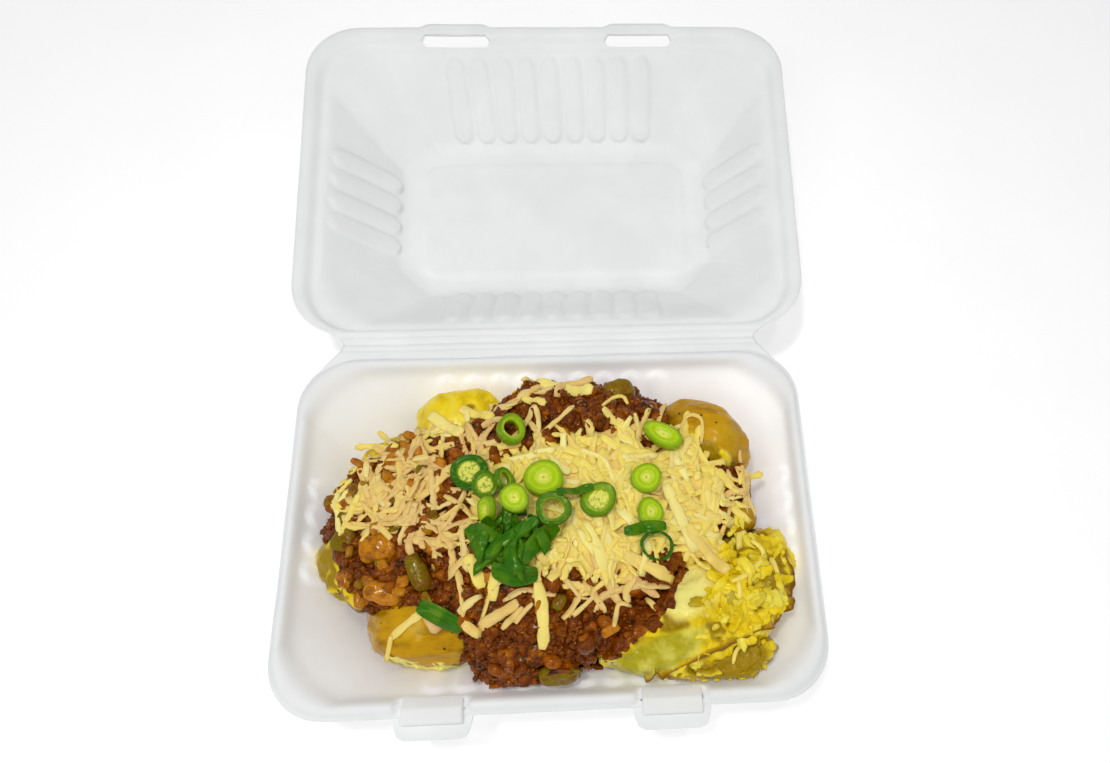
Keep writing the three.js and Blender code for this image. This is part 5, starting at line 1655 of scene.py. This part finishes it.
def turned_faces(sides, number):
    """The faces of a closed profile of some points, turned about an axis in a number of sides."""
    i, j = np.meshgrid(np.arange(sides), np.arange(number), indexing="ij")
    i2, j2 = (i + 1) % sides, (j + 1) % number
    faces = np.stack([i * number + j, i * number + j2, i2 * number + j2, i2 * number + j], -1)
    return faces.reshape(-1, 4)[:, ::-1]


def slice_form(node, dark, hole, filled, random):
    """A slice of stalk: layered rings about the CAD node's own axis, a little uneven."""
    middle, axes, half = node_frame(node)
    tall = half[2]
    radii = np.concatenate([np.linspace(hole, 0.94, 12), [1.0, 1.0, 0.94], np.linspace(0.9, hole, 5)])
    steps = np.linspace(0, 1, 12)
    grooves = 0.07 * np.cos(steps * (9 if hole == CLOSED else 6)) - 0.1
    top = tall * (1 + grooves - 0.12 * (1 - steps))
    heights = np.concatenate([top, [tall * 0.82, -tall * 0.82, -tall], np.full(5, -tall)])
    turn = np.linspace(0, 2 * np.pi, SLICE_SIDES, endpoint=False)
    wobble = 1 + 0.05 * np.sin(2 * turn + random.uniform(0, 6))
    wobble = wobble + 0.03 * np.sin(3 * turn + random.uniform(0, 6))
    r, a = np.meshgrid(radii, turn)
    w = wobble[:, None]
    local = np.stack([half[0] * r * w * np.cos(a), half[1] * r * w * np.sin(a),
                      np.broadcast_to(heights, r.shape) + 0.06 * np.sin(5 * a)], -1)
    corners = local.reshape(-1, 3) @ axes + middle
    form = Form(corners, turned_faces(SLICE_SIDES, len(radii)),
                {"radius": np.tile(radii, SLICE_SIDES), "depth": np.full(len(corners), dark)})
    if filled:
        return joined([form, membrane(middle, axes, half, hole, dark)])
    return form


def membrane(middle, axes, half, hole, dark):
    """The pale pith inside a hollow slice."""
    rings = np.linspace(0.02, hole + 0.03, 5)
    turn = np.linspace(0, 2 * np.pi, MEMBRANE_SIDES, endpoint=False)
    r, a = np.meshgrid(rings, turn)
    layers = []
    for height in (0.45, 0.1):
        dome = height * half[2] + 0.2 * np.sin(3 * a) * r
        layers.append(np.stack([half[0] * r * np.cos(a), half[1] * r * np.sin(a), dome], -1))
    profile = np.concatenate([layers[0], layers[1][:, ::-1]], 1)
    corners = profile.reshape(-1, 3) @ axes + middle
    number = len(corners)
    return Form(corners, turned_faces(MEMBRANE_SIDES, profile.shape[1]),
                {"radius": np.full(number, 0.05), "depth": np.full(number, dark)})


class FOOD_OT_spring_onion(bpy.types.Operator):
    """Makes the slices and leaves of spring onion"""
    bl_idname = "potato_box.spring_onion"
    bl_label = "Spring onion"

    def execute(self, context):
        settings = context.scene.spring_onion
        random = np.random.default_rng(3)
        finish = onion_finish(settings)
        for node, spec in SLICES.items():
            slice_form(node, *spec, random).build(
                node + "_slice", "tray", "onion_slice", finish, [node])
        green = leaf_finish(settings)
        for node in sorted(name for name in frame["nodes"] if name.startswith("leaf_")):
            form = rounded(node, 3)
            middle, axes, half = node_frame(node)
            form.values = {"across": ((form.corners - middle) @ axes[1]) / half[1]}
            form.corners[:, 2] += 0.25 * noise(form.corners, 5, 2)
            form.build(node + "_blade", "tray", "onion_leaf", green, [node])
            HEAP.cover(form, "leaf")
        snips = joined([self.snip(random) for _ in range(settings.snips)])
        snips.corners = kept_in(snips.corners)
        snips.build("leaf_snips", "tray", "onion_leaf", green)
        return {"FINISHED"}

    def snip(self, random):
        """A small curved strip of leaf, cut slantwise, in the pile of leaves."""
        away, turn = PILE_HALF * math.sqrt(random.uniform(0.05, 1)), random.uniform(0, 2 * math.pi)
        x0, y0 = LEAF_PILE[0] + 1.3 * away * math.cos(turn), LEAF_PILE[1] + away * math.sin(turn)
        yaw = math.pi / 2 + 0.5 * math.cos(turn) + random.normal(0, 0.3)
        long, wide = random.uniform(11, 18), random.uniform(3.4, 5.4)
        t, u = np.meshgrid(np.linspace(-0.5, 0.5, 12), np.linspace(-0.5, 0.5, 6), indexing="ij")
        bend = random.normal(0, 2.0)
        along = t * long + 0.5 * u * wide * random.choice([-1, 1])
        across = u * wide * (1 - 0.2 * (2 * np.abs(t)) ** 4) + bend * (4 * t**2 - 0.4)
        x = x0 + along * math.cos(yaw) - across * math.sin(yaw)
        y = y0 + along * math.sin(yaw) + across * math.cos(yaw)
        rise = random.uniform(0.5, 1.6) + (1 - 4 * t**2) * random.uniform(0.2, 1.2) + 0.7 * (1 - (2 * u) ** 2)
        ground = HEAP.at(x, y)
        z = mix(ground.mean(), ground, 0.35) + rise
        grid = np.stack([x, y, z], -1)
        HEAP.lay(grid.reshape(-1, 3))
        return sheet(grid, 0.5, {"across": 2 * u})


# ---------------------------------------------------------------- the stage


# Lights: their place in metres, size in metres and power in watts. They face LIGHTS_FACE.
LIGHTS = {
    "key_softbox": ((-0.4, -0.5, 0.78), 0.45, 1.3),
    "fill_softbox": ((0.45, -0.3, 0.8), 0.6, 0.7),
    "glint_left": ((-0.12, 0.02, 0.8), 0.09, 1.5),
    "glint_right": ((0.16, 0.06, 0.8), 0.05, 0.4),
}
LIGHTS_FACE = Vector((0, 0.08, 0.03))
ROOM_LIGHT = 0.44
FLOOR_HALF, FLOOR_STEPS, FLOOR_Z = 1.5, 12, -0.05  # half width in metres, and height in mm
SENSOR_WIDTH = 36


class STAGE_OT_stage(bpy.types.Operator):
    """Makes the floor, the lights and the camera"""
    bl_idname = "potato_box.stage"
    bl_label = "Stage"

    def execute(self, context):
        settings = context.scene.stage
        self.floor(settings)
        for name, spec in LIGHTS.items():
            self.light(name, *spec)
        world = bpy.data.worlds.new("pale_room")
        world.use_nodes = True
        sky = world.node_tree.nodes["Background"]
        sky.inputs["Color"].default_value = (1, 1, 1, 1)
        sky.inputs["Strength"].default_value = ROOM_LIGHT
        context.scene.world = world
        context.scene.view_settings.view_transform = "Standard"
        self.camera(context, settings)
        return {"FINISHED"}

    def floor(self, settings):
        line = np.linspace(-FLOOR_HALF, FLOOR_HALF, FLOOR_STEPS + 1) / MM
        x, y = np.meshgrid(line, line, indexing="ij")
        corners = np.stack([x, y, np.full_like(x, FLOOR_Z)], -1).reshape(-1, 3)
        i, j = np.meshgrid(np.arange(FLOOR_STEPS), np.arange(FLOOR_STEPS), indexing="ij")
        a = (i * (FLOOR_STEPS + 1) + j).ravel()
        faces = np.stack([a, a + FLOOR_STEPS + 1, a + FLOOR_STEPS + 2, a + 1], 1)
        mesh = bpy.data.meshes.new("floor")
        mesh.from_pydata((corners * MM).tolist(), [], faces.tolist())
        floor = bpy.data.objects.new("floor", mesh)
        bpy.context.scene.collection.objects.link(floor)
        mesh.materials.append(floor_finish(settings.floor))

    def light(self, name, place, size, power):
        lamp = bpy.data.lights.new(name, "AREA")
        lamp.size, lamp.energy = size, power
        lamp.shape = "DISK"
        holder = bpy.data.objects.new(name, lamp)
        holder.location = place
        holder.rotation_euler = (LIGHTS_FACE - Vector(place)).to_track_quat("-Z", "Y").to_euler()
        bpy.context.scene.collection.objects.link(holder)

    def camera(self, context, settings):
        pitch, yaw, roll = settings.pitch, settings.yaw, settings.roll
        forward = Vector((math.sin(yaw) * math.cos(pitch), math.cos(yaw) * math.cos(pitch),
                          -math.sin(pitch)))
        level = Vector((math.cos(yaw), -math.sin(yaw), 0))
        over = level.cross(forward)
        right = math.cos(roll) * level + math.sin(roll) * over
        up = -math.sin(roll) * level + math.cos(roll) * over
        data = bpy.data.cameras.new("camera")
        data.lens, data.sensor_width = settings.lens, SENSOR_WIDTH
        data.shift_x, data.shift_y = settings.shift
        data.clip_start = 0.01
        camera = bpy.data.objects.new("camera", data)
        turn = Matrix((right, up, -forward)).transposed().to_4x4()
        camera.matrix_world = Matrix.Translation(settings.place) @ turn
        context.scene.collection.objects.link(camera)
        context.scene.camera = camera


# ---------------------------------------------------------------- the panel and the run

SETTINGS = {
    "pulp_box": PulpBoxSettings, "potatoes": PotatoSettings, "chilli": ChilliSettings,
    "cheese": CheeseSettings, "spring_onion": OnionSettings, "stage": StageSettings,
}
STEPS = [
    ("pulp_box", BOX_OT_tray), ("pulp_box", BOX_OT_lid), ("pulp_box", BOX_OT_hinge_strip),
    ("potatoes", FOOD_OT_potatoes), ("chilli", FOOD_OT_chilli), ("cheese", FOOD_OT_cheese),
    ("spring_onion", FOOD_OT_spring_onion), ("stage", STAGE_OT_stage),
]


class VIEW3D_PT_potato_box(bpy.types.Panel):
    """Lists the pieces of the meal and their settings"""
    bl_idname = "VIEW3D_PT_potato_box"
    bl_label = "Loaded Baked Potato Box"
    bl_space_type = "VIEW_3D"
    bl_region_type = "UI"
    bl_category = "Baked Potato"

    def draw(self, context):
        layout = self.layout
        for group, settings in SETTINGS.items():
            box = layout.box()
            for name in settings.__annotations__:
                box.prop(getattr(context.scene, group), name)
            for owner, step in STEPS:
                if owner == group:
                    box.operator(step.bl_idname)


CLASSES = [*SETTINGS.values(), *(step for _, step in STEPS), VIEW3D_PT_potato_box]


def register():
    for cls in CLASSES:
        bpy.utils.register_class(cls)
    for group, settings in SETTINGS.items():
        setattr(bpy.types.Scene, group, bpy.props.PointerProperty(type=settings))


def unregister():
    for group in SETTINGS:
        delattr(bpy.types.Scene, group)
    for cls in reversed(CLASSES):
        bpy.utils.unregister_class(cls)


def main():
    register()
    for _, step in STEPS:
        family, name = step.bl_idname.split(".")
        getattr(getattr(bpy.ops, family), name)()


if __name__ == "__main__":
    main()
